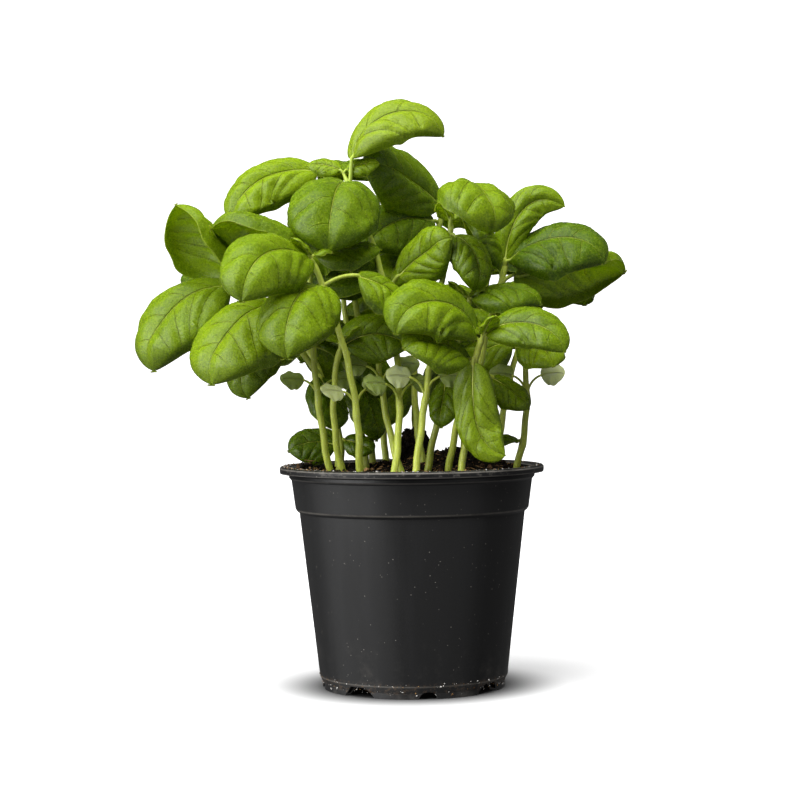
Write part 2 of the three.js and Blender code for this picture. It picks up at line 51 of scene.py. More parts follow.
import bpy
import numpy as np
from bpy.props import FloatProperty, FloatVectorProperty, IntProperty, PointerProperty
from mathutils import Euler, Vector, noise

bl_info = {
    "name": "Potted basil plant",
    "version": (1, 0, 0),
    "blender": (4, 5, 0),
    "location": "View3D > Sidebar > Basil",
    "description": "Builds a basil plant in a black nursery pot around its packed frame",
    "category": "Add Mesh",
}

MM = 0.001
CIRCLE = 2 * math.pi
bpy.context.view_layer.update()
POT_LOW, POT_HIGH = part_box("pot")
AXIS = np.array([(POT_LOW.x + POT_HIGH.x) / 2, (POT_LOW.y + POT_HIGH.y) / 2, 0.0])
RIM = (POT_HIGH.y - POT_LOW.y) / 2 / MM
POT_TOP = POT_HIGH.z / MM

# The pot below its lip: radii and heights of its collar, ledge, wall and foot.
NECK = 55.8
COLLAR = (54.7, 53.0)
COLLAR_Z = (95.0, 81.4)
BODY = (51.2, 42.7)
BODY_Z = (79.4, 5.4)
FOOT = 41.4
FOOT_WIDTH = 4.2
FOOT_STEP = 2.6
FLOOR = 5.0
WALL = 1.0
NOTCH = SimpleNamespace(count=4, first=-36.4, wide=19.0, narrow=8.0, height=4.6, arch=4.2, rise=3.2)
DRAIN = SimpleNamespace(radius=4.5, ring=25.0, sides=24)
# Painted highlights along the plastic's rounded edges, as pale lines in the dust's colour: height, half width in
# mm, and strength.
PAINTED_EDGE_HIGHLIGHTS = ((99.7, 0.4, 0.6), (97.6, 0.4, 0.4), (95.2, 0.5, 0.25), (80.9, 0.6, 0.4), (5.6, 0.5, 0.35))
# The shade under the lip and the caked dirt on the foot: height, and half widths where they end.
LIP_SHADE = (96.5, 0.9, 1.3)
SOILED = (4.6, 0.8, 3.2)

# The soil, as broad and small waves on a level, with a mound and an upright lump of peat behind the middle.
SOIL_LEVEL = 97.5
SOIL_BASE = 6.4
SOIL_GAP = 0.35
SOIL_EDGE = 12.0
BROAD = SimpleNamespace(high=1.5, x=0.11, y=0.13)
SMALL = SimpleNamespace(high=0.7, x=0.37, y=0.31)
ROUGH = SimpleNamespace(high=1.1, size=5.0, grid=110)
MOUND = SimpleNamespace(at=(16.0, 22.0), wide=(22.0, 14.0), height=9.0)
HEAP = SimpleNamespace(turn=math.radians(196), spread=0.16, radius=52.5, wide=3.5, height=5.5)
CLOD = SimpleNamespace(at=(1.5, 26.0), radius=(7.5, 6.5, 13.0), middle=5.0, dent=0.16)

# How the stems and leaves are formed, as in the frame's solids.
BURIED = 14.0
STEM_INSET = 0.85
KNOTS = SimpleNamespace(stem=26, petiole=9, rib=9)
JOINT = SimpleNamespace(reach=1.6, swell=0.16)
RIB_REACH = 0.72
ROD = 0.001
PETIOLE = SimpleNamespace(share=0.1, steepest=1.5)
BLADE = SimpleNamespace(width=0.84, low=0.43, high=0.53, flat=0.45, wave=0.6, waves=2.5)
LEAF = dict(lift=22, curl=64, hook=0.0, kind="grown", tone=None)
YOUNG = SimpleNamespace(rise=62, droop=50, more=dict(petiole=2.5, kind="young"))
SEED_LEAF = SimpleNamespace(shape=(20, 36, 11), more=dict(width=1.1, petiole=12, lift=38, curl=30, kind="seed"))
NUDGE = SimpleNamespace(step=5, rings=9, ways=8)
MATCH = 0.05
VEIN = SimpleNamespace(
    pairs=4.2, lean=0.72, arch=1.35, start=0.03, skew=0.045, line=(0.06, 0.42), rib=(0.12, 0.5), groove=(0.6, 2.6)
)
NO_VEINS = (0.01, -2.0)  # pairs and start with which no side vein falls on the blade
TIP = SimpleNamespace(start=0.78, drop=0.085)
CRINKLE = SimpleNamespace(size=7.0, high=0.012)
SCATTER = SimpleNamespace(steps=(12.9898, 7.233, 39.346, 3.771), start=4.1)
# How far each kind of leaf swells between its veins, how young it looks and how thick its stalk is.
SWELL = {"grown": 1.0, "young": 0.5, "seed": 0.25}
YOUTH = {"grown": 0.0, "young": 1.0, "seed": 1.54, "pale": 2.0}
STALK = {"grown": 1.0, "young": 0.6, "seed": 0.62}
PALE = ("leafy_stem_front_left", "leafy_stem_middle", "leafy_stem_edge_right")  # their first seed leaf is pale

# How strongly the veins and the margin show on a leaf, and how it shines.
FACE = SimpleNamespace(side=0.4, middle=0.75, margin=0.5, rough=0.18, coat=0.22)

# The stage. STUDIO's shade is a painted contact shadow on the floor: the distances from the pot's axis, in
# metres, over which it fades from black to none. Each soft light: name, size in metres, share of the key light's
# power, place, and what it aims at.
STUDIO = SimpleNamespace(radius=5.0, sides=96, spread=75, top=(-0.08, -0.18, 1.0), shade=(0.032, 0.073))
LIGHTS = (
    ("key", 1.4, 1.0, (-1350, -800, 640), (0, 0, 130)),
    ("bounce", 1.9, 0.26, (-1000, -430, -280), (0, 0, 60)),
    ("floor_light", 1.5, 0.05, (620, -900, -430), (0, 0, 50)),
    ("sky", 1.2, 0.35, (-450, -450, 1300), (0, 0, 150)),
    ("side", 0.8, 0.03, (1300, -700, 500), (0, 0, 130)),
)
CAMERA = SimpleNamespace(back=950.0, high=150.0, right=-5.0, pitch=-1.206, roll=0.6, sensor=36)


def row(*numbers, **more):
    """One leaf of the table below: its numbers in order, and what differs from the usual leaf."""
    return numbers, more


def stem_of(name, foot, bow, crown, *rows, seed=None, bud=None):
    """One stem of the table below."""
    return SimpleNamespace(name=name, foot=foot, bow=bow, crown=crown, rows=rows, seed=seed, bud=bud)


# Each leafy stem: foot (x, y) on the soil, bow (x, y) that bends it, crown (x, y, height over the soil).
# seed: (height, turn, roll) of the pair of seed leaves; bud: (turn, length, roll, rise) of the young pair at
# the crown. The second leaf of a pair points the other way, with its roll the other way too.
# Each row is a leaf: height, turn, rise, droop and length, in mm and degrees, and then its roll, petiole and
# width, where they aren't the usual ones. Turn is 0 to the right and -90 to the viewer; rise is the pitch at the
# leaf's base, which the droop bends down by its tip. Roll tilts the face sideways, petiole is a length in mm,
# width a share of the leaf's length, and curl bends the margins down. Hook is how far the tip swings to the side,
# in lengths, and tone is how light the leaf is, where that isn't drawn at random. A tone given here is partly the
# leaf's own colour and partly painted light and shade: it also makes up for how much light falls on the leaf.
STEMS = [
    stem_of(
        "leafy_stem_top", (-8, -38), (3, -24), (-30, 0, 136),
        row(129, 0, 87, 146, 60, 32, 13, 0.66, tone=1.3),
        row(129, -101, 9, 95, 60, -12, 4, 0.92, tone=0.35),
        row(77, -36, 43, 24, 32, 82, 12, 0.96, tone=0.9),
        row(80, 165, 25, 70, 42, petiole=6),
        seed=(30, -150, -50), bud=(170, 16, -55, 34),
    ),
    stem_of(
        "leafy_stem_front_left", (-23.3, -32), (-21, -40), (-43, -45, 95),
        row(91, -127, 35, 112, 59, -36, 4, 0.78, tone=0.7),
        row(80, -114, 13, 108, 56, -9, 5, 0.9, curl=80, tone=0.75),
        row(83, 5, -5, 74, 33, 35, 16, 0.9, tone=0.7),
        seed=(27, -150, -40), bud=(40, 13),
    ),
    stem_of(
        "leafy_stem_front_right", (16, -25), (20, -33), (31, -47, 60),
        row(56, -160, 82, 154, 56, -50, 3, 0.75, tone=0.7),
        row(59, -23, 42, 108, 44, 48, 3, 0.62, tone=0.45),
        row(53, 180, -86, 10, 55, -76, 4, 0.46, hook=-0.25, curl=50, tone=1.2),
        row(48, -150, 46, 70, 36, -42, 3, 0.92, tone=0.8),
        bud=(-60, 14),
    ),
    stem_of(
        "leafy_stem_right", (21.5, -32), (28, -22), (44, -5, 95),
        row(91, 4, 84, 36, 54, 78, 4, 0.42, hook=0.35, tone=0.85),
        row(91, -13, 50, 100, 53, 37, 4, 0.9, tone=-0.1),
        row(83, 14, 16, 22, 55, -32, 9, 0.84, tone=1.04),
        row(87, -160, 102, 92, 35, -20, 3, 1, curl=85, tone=0.5),
        row(43, -10, -24, 30, 22, 38, 7, 1),
    ),
    stem_of(
        "leafy_stem_middle", (1.2, -40), (9, -33), (18.5, -20, 111),
        row(108, -61, 47, 154, 52, -6, 15, 0.88, tone=0.75),
        row(105, -57, -14, 120, 36, 14, 3, 0.78, curl=85, tone=0.6),
        seed=(33, -172, -60), bud=(60, 13),
    ),
    stem_of(
        "leafy_stem_left", (-36.5, -18), (-46, -24), (-44, -25, 106),
        row(96, -172, 46, 50, 46, 34, 3, 0.95, curl=80, tone=0.5),
        row(71, -147, 0, 84, 58, -22, 15, 1, tone=0.95),
        row(96, 10, 12, 24, 30, 22, width=0.95, tone=0.6),
        row(67, 80, 20, 60, 36),
        seed=(32, -168, -45), bud=(-60, 13, 30, -10),
    ),
    stem_of(
        "leafy_stem_far_left", (-33, 5), (-27, 4), (-82, -4, 88),
        row(85, -152, 63, 22, 44, 11, 4, 1.15, curl=78, tone=1.0),
        row(83, -162, 4, 98, 63, -28, 6, tone=0.65),
        row(62, -152, -2, 114, 42, -38, 4, 0.8, tone=0.5),
        row(44, -62, -30, 50, 30),
        row(11, 180, 22, 56, 24, -58, 2, 1.05),
        row(14, -8, 0, 40, 16, 50, 2, 1),
    ),
    stem_of(
        "leafy_stem_short_left", (-30.7, -20), (-38, -25), (-31, -33, 57),
        row(53, -4, 40, 84, 32, 72, 5, 0.96),
        bud=(150, 13),
    ),
    stem_of(
        "leafy_stem_upper_left", (-18, 22), (-20, 24), (-39, 16, 140),
        row(135, -165, 17, 92, 54, -41, 5, 0.68, tone=1.0),
        row(136, 62, 30, 60, 40),
        row(88, -85, 15, 64, 42),
        row(88, 110, 20, 60, 44),
    ),
    stem_of(
        "leafy_stem_upper_right", (5.7, 5), (-6, 14), (17, 36, 122),
        row(120, -138, 44, 44, 50, -75, 3, 0.84, tone=0.45),
        row(114, -136, 16, 66, 45, -50, 3, 0.87, tone=0.2),
        row(116, 42, 25, 62, 44),
        row(80, 132, 15, 60, 44),
        row(80, -48, 20, 60, 40),
        bud=(-20, 16),
    ),
    stem_of(
        "leafy_stem_edge_right", (47, -5), (57, -13), (47, -14, 68),
        row(60, -61, -9, 38, 27, 24, 4, 1, tone=1.1),
        row(65, 84, 20, 60, 38),
        row(12, 170, 40, 110, 22),
        seed=(33, -10, 60), bud=(-60, 12),
    ),
    stem_of(
        "leafy_stem_inner_right", (6.8, -12), (14, -14), (26, -24, 77),
        row(75, -16, 32, 79, 36, 18, 3, 0.95),
        row(42, -104, -26, 66, 26, 15, 3, 0.78),
        bud=(24, 12),
    ),
    stem_of(
        "leafy_stem_inner_left", (-4.5, -30), (-15, -25), (-15, -19, 66),
        row(64, 95, 26, 60, 30),
        seed=(38, -176, -50),
    ),
    stem_of(
        "leafy_stem_behind_left", (-20.5, 10), (-26, 10), (-32, 22, 88),
        row(44, -42, -50, 40, 32),
        row(58, 5, -35, 45, 30, 40),
        row(64, 100, 15, 60, 42),
        row(86, 172, 30, 60, 44),
    ),
    stem_of(
        "leafy_stem_on_clod", (3, 27), (0, 34), (4, 52, 104),
        row(102, 92, 30, 62, 46),
        row(101, -104, -7, 55, 40, -22, 11, 0.74),
        row(72, 0, 12, 60, 44),
        row(48, -150, -40, 30, 36, -20),
        bud=(0, 13),
    ),
    stem_of(
        "leafy_stem_back_far_left", (-34, 24), (-32, 26), (-72, 40, 90),
        row(88, 142, 30, 66, 50),
        row(88, -150, 25, 60, 40),
        row(58, 60, 10, 60, 44),
        row(58, 150, 8, 60, 44),
        bud=(-20, 13),
    ),
    stem_of(
        "leafy_stem_back_left", (-12, 41), (-14, 52), (-26, 74, 98),
        row(96, 112, 32, 66, 52),
        row(96, -165, 28, 60, 46),
        row(66, 35, 10, 60, 46),
        row(66, 160, 8, 60, 46),
        bud=(20, 13),
    ),
    stem_of(
        "leafy_stem_back_right", (24, 38), (28, 48), (40, 70, 96),
        row(94, 65, 30, 66, 50),
        row(94, -15, 26, 60, 44),
        row(64, 135, 10, 60, 46),
        row(64, 0, 8, 60, 40),
        bud=(150, 13),
    ),
    stem_of(
        "leafy_stem_back_far_right", (39, 17), (44, 22), (62, 40, 88),
        row(86, 52, 28, 66, 42),
        row(86, 120, 26, 60, 44),
        row(58, -170, -5, 50, 40, -30),
        bud=(90, 13),
    ),
]


# Settings that the sidebar shows


def tint_property(name, description, default):
    """A colour that a user can change."""
    return FloatVectorProperty(
        name=name, description=description, default=default, subtype="COLOR", size=3, min=0, max=1
    )


def number_property(name, description, default, low=0, **more):
    """A number that a user can change."""
    return FloatProperty(name=name, description=description, default=default, min=low, **more)


def length_property(name, description, default, low, high):
    """A small length that a user can change, in metres."""
    return number_property(name, description, default, low, max=high, unit="LENGTH", precision=5)


def count_property(name, description, default, low, high):
    """A whole number that a user can change."""
    return IntProperty(name=name, description=description, default=default, min=low, max=high)


class BasilPotSettings(bpy.types.PropertyGroup):
    segments: count_property("Segments", "Steps round the pot's wall", 160, 32, 256)
    colour: tint_property("Plastic", "Colour of the pot's plastic", (0.0125, 0.0125, 0.0128))
    dust: tint_property("Dust", "Colour of the fine dust on the pot", (0.28, 0.26, 0.23))
    bevel: length_property("Edge rounding", "Radius of the moulded edges", 0.0005, 0, 0.002)


class BasilSoilSettings(bpy.types.PropertyGroup):
    crumbs: count_property("Crumbs", "Number of loose crumbs of peat and bark", 3200, 0, 6000)
    fibres: count_property("Fibres", "Number of fine wood fibres", 260, 0, 1000)
    grit: count_property("Grit", "Number of specks of dirt on the pot", 1300, 0, 2000)
    seed: count_property("Seed", "Start of the random draws", 7, 0, 1000)
    peat: tint_property("Peat", "Colour of the dark damp peat", (0.0075, 0.0045, 0.003))
    bark: tint_property("Bark", "Colour of the lightest crumbs", (0.46, 0.27, 0.11))


class BasilStemSettings(bpy.types.PropertyGroup):
    foot_radius: length_property("Foot radius", "Radius of a stem at the soil", 0.00165, 0.0005, 0.004)
    crown_radius: length_property("Crown radius", "Radius of a stem at its top", 0.0012, 0.0003, 0.004)
    petiole_radius: length_property("Petiole radius", "Radius of a leaf's stalk", 0.00085, 0.0003, 0.002)
    colour: tint_property("Stem", "Colour of the stems", (0.45, 0.52, 0.07))


class BasilLeafSettings(bpy.types.PropertyGroup):
    rows: count_property("Rows", "Faces along a grown leaf's blade", 52, 8, 80)
    columns: count_property("Columns", "Faces across a grown leaf's blade", 34, 6, 60)
    thickness: length_property("Thickness", "Thickness of a leaf's blade", 0.0004, 0.0001, 0.001)
    puff: number_property("Puff", "Swelling between the veins, in blade lengths", 0.038, max=0.1)
    bright: tint_property("Bright", "Colour of a leaf in its prime", (0.178, 0.278, 0.002))
    deep: tint_property("Deep", "Colour of an older leaf", (0.05, 0.105, 0.001))
    vein: tint_property("Vein", "Colour of the veins and the margin", (0.3, 0.37, 0.04))


class BasilStageSettings(bpy.types.PropertyGroup):
    lens: number_property("Lens", "Focal length of the camera", 94.05, 20, max=200, unit="CAMERA")
    floor: tint_property("Floor", "Colour of the floor and backdrop", (0.9, 0.9, 0.9))
    key: number_property("Key light", "Power of the soft light on the left", 25.5, unit="POWER")
    top: number_property("Top light", "Strength of the wide light overhead", 5.5)
    ambient: number_property("Ambient", "Light from all round", 0.085)


# Numbers that shape things


def step_up(low, high, value):
    """0 below low, 1 above high and smooth between."""
    x = np.clip((value - low) / (high - low), 0, 1)
    return x * x * (3 - 2 * x)


def rows_of(*columns):
    """Points or vectors from their three columns, any of which may be one number for all."""
    return np.stack(np.broadcast_arrays(*columns), axis=1)


def polar(radius, angle, height):
    """Points at a distance and an angle round the pot's axis, at a height."""
    return rows_of(radius * np.cos(angle), radius * np.sin(angle), height)


def heading(turn, pitch):
    """Unit vectors of a heading and a pitch, in radians."""
    turn, pitch = np.broadcast_arrays(turn, pitch)
    return np.stack([np.cos(pitch) * np.cos(turn), np.cos(pitch) * np.sin(turn), np.sin(pitch)], axis=-1)


def facing(turn, pitch, roll):
    """The sideways and outward directions of a leaf at its pitches, tilted by the roll."""
    up = heading(turn, pitch + math.pi / 2)
    right = np.cross(heading(turn, pitch), up)
    cosine, sine = np.cos(roll)[..., None], np.sin(roll)[..., None]
    return right * cosine - up * sine, up * cosine + right * sine


def stem_point(stem, height):
    """The middle line of a stem at a height over the soil's level, which may be below it."""
    foot, bow = np.array(stem.foot, float), np.array(stem.bow, float)
    crown, top = np.array(stem.crown[:2], float), stem.crown[2]
    ends = max(height / top, 0.0)
    sink = min(height / top, 0.0) * 2
    flat = (1 - ends) ** 2 * foot + 2 * ends * (1 - ends) * bow + ends**2 * crown + sink * (bow - foot)
    return np.array([flat[0], flat[1], SOIL_LEVEL + height])


def leaf_of(stem, height, turn, rise, droop, length, roll=0, petiole=None, width=BLADE.width, **more):
    """One leaf's shape, in mm and radians."""
    given = dict(turn=turn, rise=rise, droop=droop, length=length, roll=roll, width=width, **more)
    leaf = SimpleNamespace(**{**LEAF, **given}, node=stem_point(stem, height))
    leaf.petiole = PETIOLE.share * length if petiole is None else petiole
    for angle in ("turn", "rise", "droop", "roll", "lift", "curl"):
        setattr(leaf, angle, math.radians(getattr(leaf, angle)))
    return leaf


def blade_base(leaf):
    """Where the petiole ends and the blade begins."""
    return leaf.node + heading(leaf.turn, min(leaf.rise + leaf.lift, PETIOLE.steepest)) * leaf.petiole


def petiole_points(leaf, u):
    """Points of the petiole's middle line, from the stem (0) to the blade (1)."""
    end = blade_base(leaf)
    knee = end - heading(leaf.turn, leaf.rise) * leaf.petiole / 2
    u = u[:, None]
    return leaf.node + (knee - leaf.node) * (2 * u - u * u) + (end - knee) * u * u


def half_width(leaf, s):
    """Half the blade's width at s, from its base (0) to its tip (1)."""
    low, high = BLADE.low, BLADE.high
    widest = low**low * high**high / (low + high) ** (low + high)
    return leaf.length * leaf.width * 0.5 * s**low * (1 - s) ** high / widest


def blade_points(leaf, s, t, height=0.0):
    """Points of the blade: s along the midrib, t across it (-1 to 1), height over the plain upper face."""
    swept = np.arctan2(3 * leaf.hook * s * s, 1 - 3 * abs(leaf.hook) * s * s)
    pitch = leaf.rise - leaf.droop * (s - abs(leaf.hook) * s**3)
    run = leaf.length * (np.sin(leaf.rise) - np.sin(pitch)) / leaf.droop
    climb = leaf.length * (np.cos(pitch) - np.cos(leaf.rise)) / leaf.droop
    aside = leaf.length * leaf.hook * s**3
    side, face = facing(leaf.turn, pitch, np.array(leaf.roll))
    spine = blade_base(leaf) + run[:, None] * heading(leaf.turn, 0.0) + climb[:, None] * np.array([0, 0, 1])
    spine = spine + aside[:, None] * side
    side = side * np.cos(swept)[:, None] - heading(leaf.turn, pitch) * np.sin(swept)[:, None]
    half = half_width(leaf, s)
    share = BLADE.flat + (1 - BLADE.flat) * np.minimum(1, 2 * half / (leaf.length * leaf.width))
    bend = leaf.curl * share * t
    radius = half / (leaf.curl * share)
    out = (radius + height) * np.sin(bend)
    drop = radius - (radius + height) * np.cos(bend)
    swing = np.sin(CIRCLE * BLADE.waves * s + 2 * np.sign(t) + leaf.turn)
    wave = BLADE.wave * t * t * swing * np.sin(math.pi * s)
    return spine + side * out[:, None] + face * (wave - drop)[:, None]


def nudges():
    """The steps that a leaf of the frame may have been turned and lifted by, the smallest first."""
    found = [(0.0, 0.0)]
    for ring in range(1, NUDGE.rings + 1):
        for way in range(NUDGE.ways):
            angle, far = CIRCLE * way / NUDGE.ways, math.radians(NUDGE.step * ring)
            found.append((far * math.cos(angle), far * math.sin(angle)))
    return found


def settled(leaf, corners):
    """The leaf where the frame has it, found by its tip among the node's corners, or None if it isn't there."""
    for turn, lift in nudges():
        tried = SimpleNamespace(**{**vars(leaf), "turn": leaf.turn + turn, "rise": leaf.rise + lift})
        tip = blade_points(tried, np.array([1.0]), np.array([0.0]))[0]
        if np.abs(corners - tip).max(axis=1).min() < MATCH:
            return tried
    return None


def leaves_of(stem):
    """All the leaves of a stem: the grown ones, the young pair at the crown and the pair of seed leaves."""
    leaves = [leaf_of(stem, *numbers, **more) for numbers, more in stem.rows]
    for side, way in ((0, 1), (180, -1)):
        if stem.bud:
            turn, length, roll, rise = (*stem.bud, 0, YOUNG.rise)[:4]
            shape = turn + side, rise, YOUNG.droop, length
            leaves.append(leaf_of(stem, stem.crown[2] - STEM_INSET, *shape, roll=way * roll, **YOUNG.more))
        if stem.seed:
            height, turn, roll = stem.seed
            leaves.append(leaf_of(stem, height, turn + side, *SEED_LEAF.shape, roll=way * roll, **SEED_LEAF.more))
    for number, leaf in enumerate(leaves):
        leaf.draw = number + 7 * STEMS.index(stem) + 1
        drawn = [0.5 + 0.5 * math.sin(leaf.draw * step + SCATTER.start) for step in SCATTER.steps]
        if leaf.tone is None:
            leaf.tone = drawn[0] if leaf.kind == "grown" else 1.0
        leaf.pairs = VEIN.pairs * (0.86 + 0.28 * drawn[1])
        leaf.start = VEIN.start + 0.06 * drawn[2]
        leaf.skew = VEIN.skew * (1 if drawn[3] > 0.5 else -1)
        leaf.youth = YOUTH[leaf.kind]
        if leaf.kind == "seed":
            leaf.pairs, leaf.start = NO_VEINS
            if stem.name in PALE and leaf.turn == math.radians(stem.seed[1]):
                leaf.youth = YOUTH["pale"]
    corners = (positions(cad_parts[stem.name].data) - AXIS) / MM
    return [leaf for leaf in (settled(leaf, corners) for leaf in leaves) if leaf]


def soil_height(x, y):
    """Height of the soil's upper face."""
    swell = BROAD.high * np.sin(x * BROAD.x + 1) * np.cos(y * BROAD.y)
    ripple = SMALL.high * np.sin(x * SMALL.x - y * SMALL.y)
    fade = np.minimum(1, (COLLAR[0] - np.hypot(x, y)) / SOIL_EDGE)
    from_x, from_y = (x - MOUND.at[0]) / MOUND.wide[0], (y - MOUND.at[1]) / MOUND.wide[1]
    return SOIL_LEVEL + (swell + ripple) * fade + MOUND.height * np.exp(-(from_x**2) - from_y**2)


# Modelling


def pick(*objects):
    """Leaves edit mode and selects these objects only, the first one active."""
    if bpy.context.object and bpy.context.object.mode != "OBJECT":
        bpy.ops.object.mode_set(mode="OBJECT")
    bpy.ops.object.select_all(action="DESELECT")
    for chosen in objects:
        chosen.select_set(True)
    if objects:
        bpy.context.view_layer.objects.active = objects[0]


def added(primitive, **settings):
    """The new object that a primitive's operator adds."""
    pick()
    primitive(**settings)
    return bpy.context.object


def linked(name, data):
    """A new object with this data, in the scene."""
    piece = bpy.data.objects.new(name, data)
    bpy.context.scene.collection.objects.link(piece)
    return piece


@contextmanager
def edit_mode():
    """Edit mode on the active object, with everything selected, until the block ends."""
    bpy.ops.object.mode_set(mode="EDIT")
    bpy.ops.mesh.select_all(action="SELECT")
    yield
    bpy.ops.object.mode_set(mode="OBJECT")


def face_outwards():
    """Turns all the faces outwards, in edit mode."""
    bpy.ops.mesh.select_all(action="SELECT")
    bpy.ops.mesh.normals_make_consistent(inside=False)


def positions(mesh):
    """A mesh's vertex positions as rows."""
    flat = np.empty(len(mesh.vertices) * 3, np.float32)
    mesh.vertices.foreach_get("co", flat)
    return flat.reshape(-1, 3).astype(float)


def place(mesh, points):
    """Moves a mesh's vertices to points given in mm from the pot's axis."""
    mesh.vertices.foreach_set("co", (points * MM + AXIS).astype(np.float32).ravel())
    mesh.update()


def add_vectors(mesh, name, *columns):
    """Keeps up to three numbers for each vertex in a named attribute."""
    layer = mesh.attributes.new(name, "FLOAT_VECTOR", "POINT")
    values = np.zeros((len(mesh.vertices), 3), np.float32)
    for axis, column in enumerate(columns):
        values[:, axis] = column
    layer.data.foreach_set("vector", values.ravel())


def apply_modifier(piece, kind, **settings):
    """Adds a modifier with these settings and applies it."""
    pick(piece)
    modifier = piece.modifiers.new(kind.title(), kind)
    for key, value in settings.items():
        setattr(modifier, key, value)
    bpy.ops.object.modifier_apply(modifier=modifier.name)


def finished(piece, name, slot, angle, material, *nodes):
    pick(piece)
    bpy.ops.object.shade_smooth_by_angle(angle=math.radians(angle))
    piece.name = name
    piece.data.name = name
    piece.data.materials.append(material)
    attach(piece, "root")
    if nodes:
        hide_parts(*nodes)
    return piece


# Materials


def maths(operation):
    """A method that adds a maths node to the value it is called on."""

    def work(value, *others):
        return value.shader.add("ShaderNodeMath", dict(enumerate((value, *others))), operation=operation)

    return work


class Value:
    """A number or a colour that a node gives. The usual operators on it add nodes that do the sum."""

    __add__, __mul__, __pow__ = maths("ADD"), maths("MULTIPLY"), maths("POWER")
    __sub__, __truediv__ = maths("SUBTRACT"), maths("DIVIDE")
    __abs__, __round__ = maths("ABSOLUTE"), maths("ROUND")
    larger = maths("MAXIMUM")

    def __init__(self, shader, socket):
        self.shader = shader
        self.socket = socket

    def __rsub__(self, other):
        return self.shader.add("ShaderNodeMath", {0: other, 1: self}, operation="SUBTRACT")

    def ramp(self, low, high, start=0.0, end=1.0):
        """Maps low..high smoothly to start..end."""
        inputs = {0: self, 1: low, 2: high, 3: start, 4: end}
        return self.shader.add("ShaderNodeMapRange", inputs, interpolation_type="SMOOTHSTEP")

    def band(self, middle, inner, outer, strength=1.0):
        """The strength near a height in mm, fading out between two distances from it in mm."""
        return abs(self - middle * MM).ramp(inner * MM, outer * MM, strength, 0.0)

    def tint(self, share, colour):
        """This colour with a share of another one over it."""
        return self.shader.mix(share, self, colour)


class Shader:
    """A material's node tree, with short calls that add nodes and join them."""

    def __init__(self, name):
        self.material = bpy.data.materials.new(name)
        self.material.use_nodes = True
        self.nodes = self.material.node_tree.nodes
        self.links = self.material.node_tree.links
        self.surface = self.nodes["Principled BSDF"]

    def put(self, node, socket, value):
        """Sets a socket: a node's value is linked to it, and a colour gets its fourth number."""
        if isinstance(value, Value):
            self.links.new(value.socket, node.inputs[socket])
        elif node.inputs[socket].type == "RGBA":
            node.inputs[socket].default_value = (*value, 1)
        else:
            node.inputs[socket].default_value = value

    def add(self, kind, inputs, output=0, **settings):
        """Adds a node with these settings and inputs, and returns one of its outputs."""
        node = self.nodes.new(kind)
        for key, value in settings.items():
            setattr(node, key, value)
        for socket, value in inputs.items():
            self.put(node, socket, value)
        return Value(self, node.outputs[output])

    def mix(self, share, first, second):
        return self.add("ShaderNodeMix", {0: share, 6: first, 7: second}, output=2, data_type="RGBA")

    def object_place(self):
        return self.add("ShaderNodeTexCoord", {}, output=3)

    def height(self):
        """Height over the ground, in metres."""
        return self.add("ShaderNodeSeparateXYZ", {0: self.object_place()}, output=2)

    def noise(self, scale, detail=2.0, roughness=0.5, stretch=None):
        """Noise in object coordinates, which may be scaled along each axis first."""
        place = self.object_place()
        if stretch:
            place = self.add("ShaderNodeMapping", {"Vector": place, "Scale": stretch})
        inputs = {"Vector": place, "Scale": scale, "Detail": detail, "Roughness": roughness}
        return self.add("ShaderNodeTexNoise", inputs)

    def cells(self, scale, feature="F1"):
        inputs = {"Vector": self.object_place(), "Scale": scale}
        return self.add("ShaderNodeTexVoronoi", inputs, feature=feature)

    def attribute(self, name, part):
        """The x, y or z of a vertex attribute."""
        vector = self.add("ShaderNodeAttribute", {}, output=1, attribute_name=name)
        return self.add("ShaderNodeSeparateXYZ", {0: vector}, output="xyz".index(part))

    def bump(self, height, distance, strength=1.0, normal=None):
        inputs = {"Height": height, "Distance": distance, "Strength": strength}
        if normal:
            inputs["Normal"] = normal
        return self.add("ShaderNodeBump", inputs)

    def finish(self, **inputs):
        """Sets the surface's sockets, named with underscores for spaces, and returns the material."""
        for name, value in inputs.items():
            self.put(self.surface, name.replace("_", " "), value)
        return self.material


def vein_lines(shader):
    """Masks of the side veins, the midrib and the margin, from where a point lies on its blade."""
    across = abs(shader.attribute("blade", "x"))
    along, half = shader.attribute("blade", "y"), shader.attribute("blade", "z")
    pairs, start = shader.attribute("vein", "x"), shader.attribute("vein", "y")
    lean = across**VEIN.arch * VEIN.lean
    level = (along - lean) / (1.0 - lean)
    phase = (level - start) * pairs
    apart = abs(phase - round(phase)) / pairs * shader.attribute("leaf", "y")
    side = apart.ramp(*VEIN.line, 1.0, 0.0) * across.ramp(0.6, 0.92, 1.0, 0.0)
    side = side * phase.ramp(-0.3, -0.1) * along.ramp(0.74, 0.86, 1.0, 0.0)
    middle = (across * half).ramp(*VEIN.rib, 1.0, 0.0) * along.ramp(0.6, 0.95, 1.0, 0.15)
    margin = ((1.0 - across) * half).ramp(0.1, 0.6, 1.0, 0.0)
    return side, middle, margin


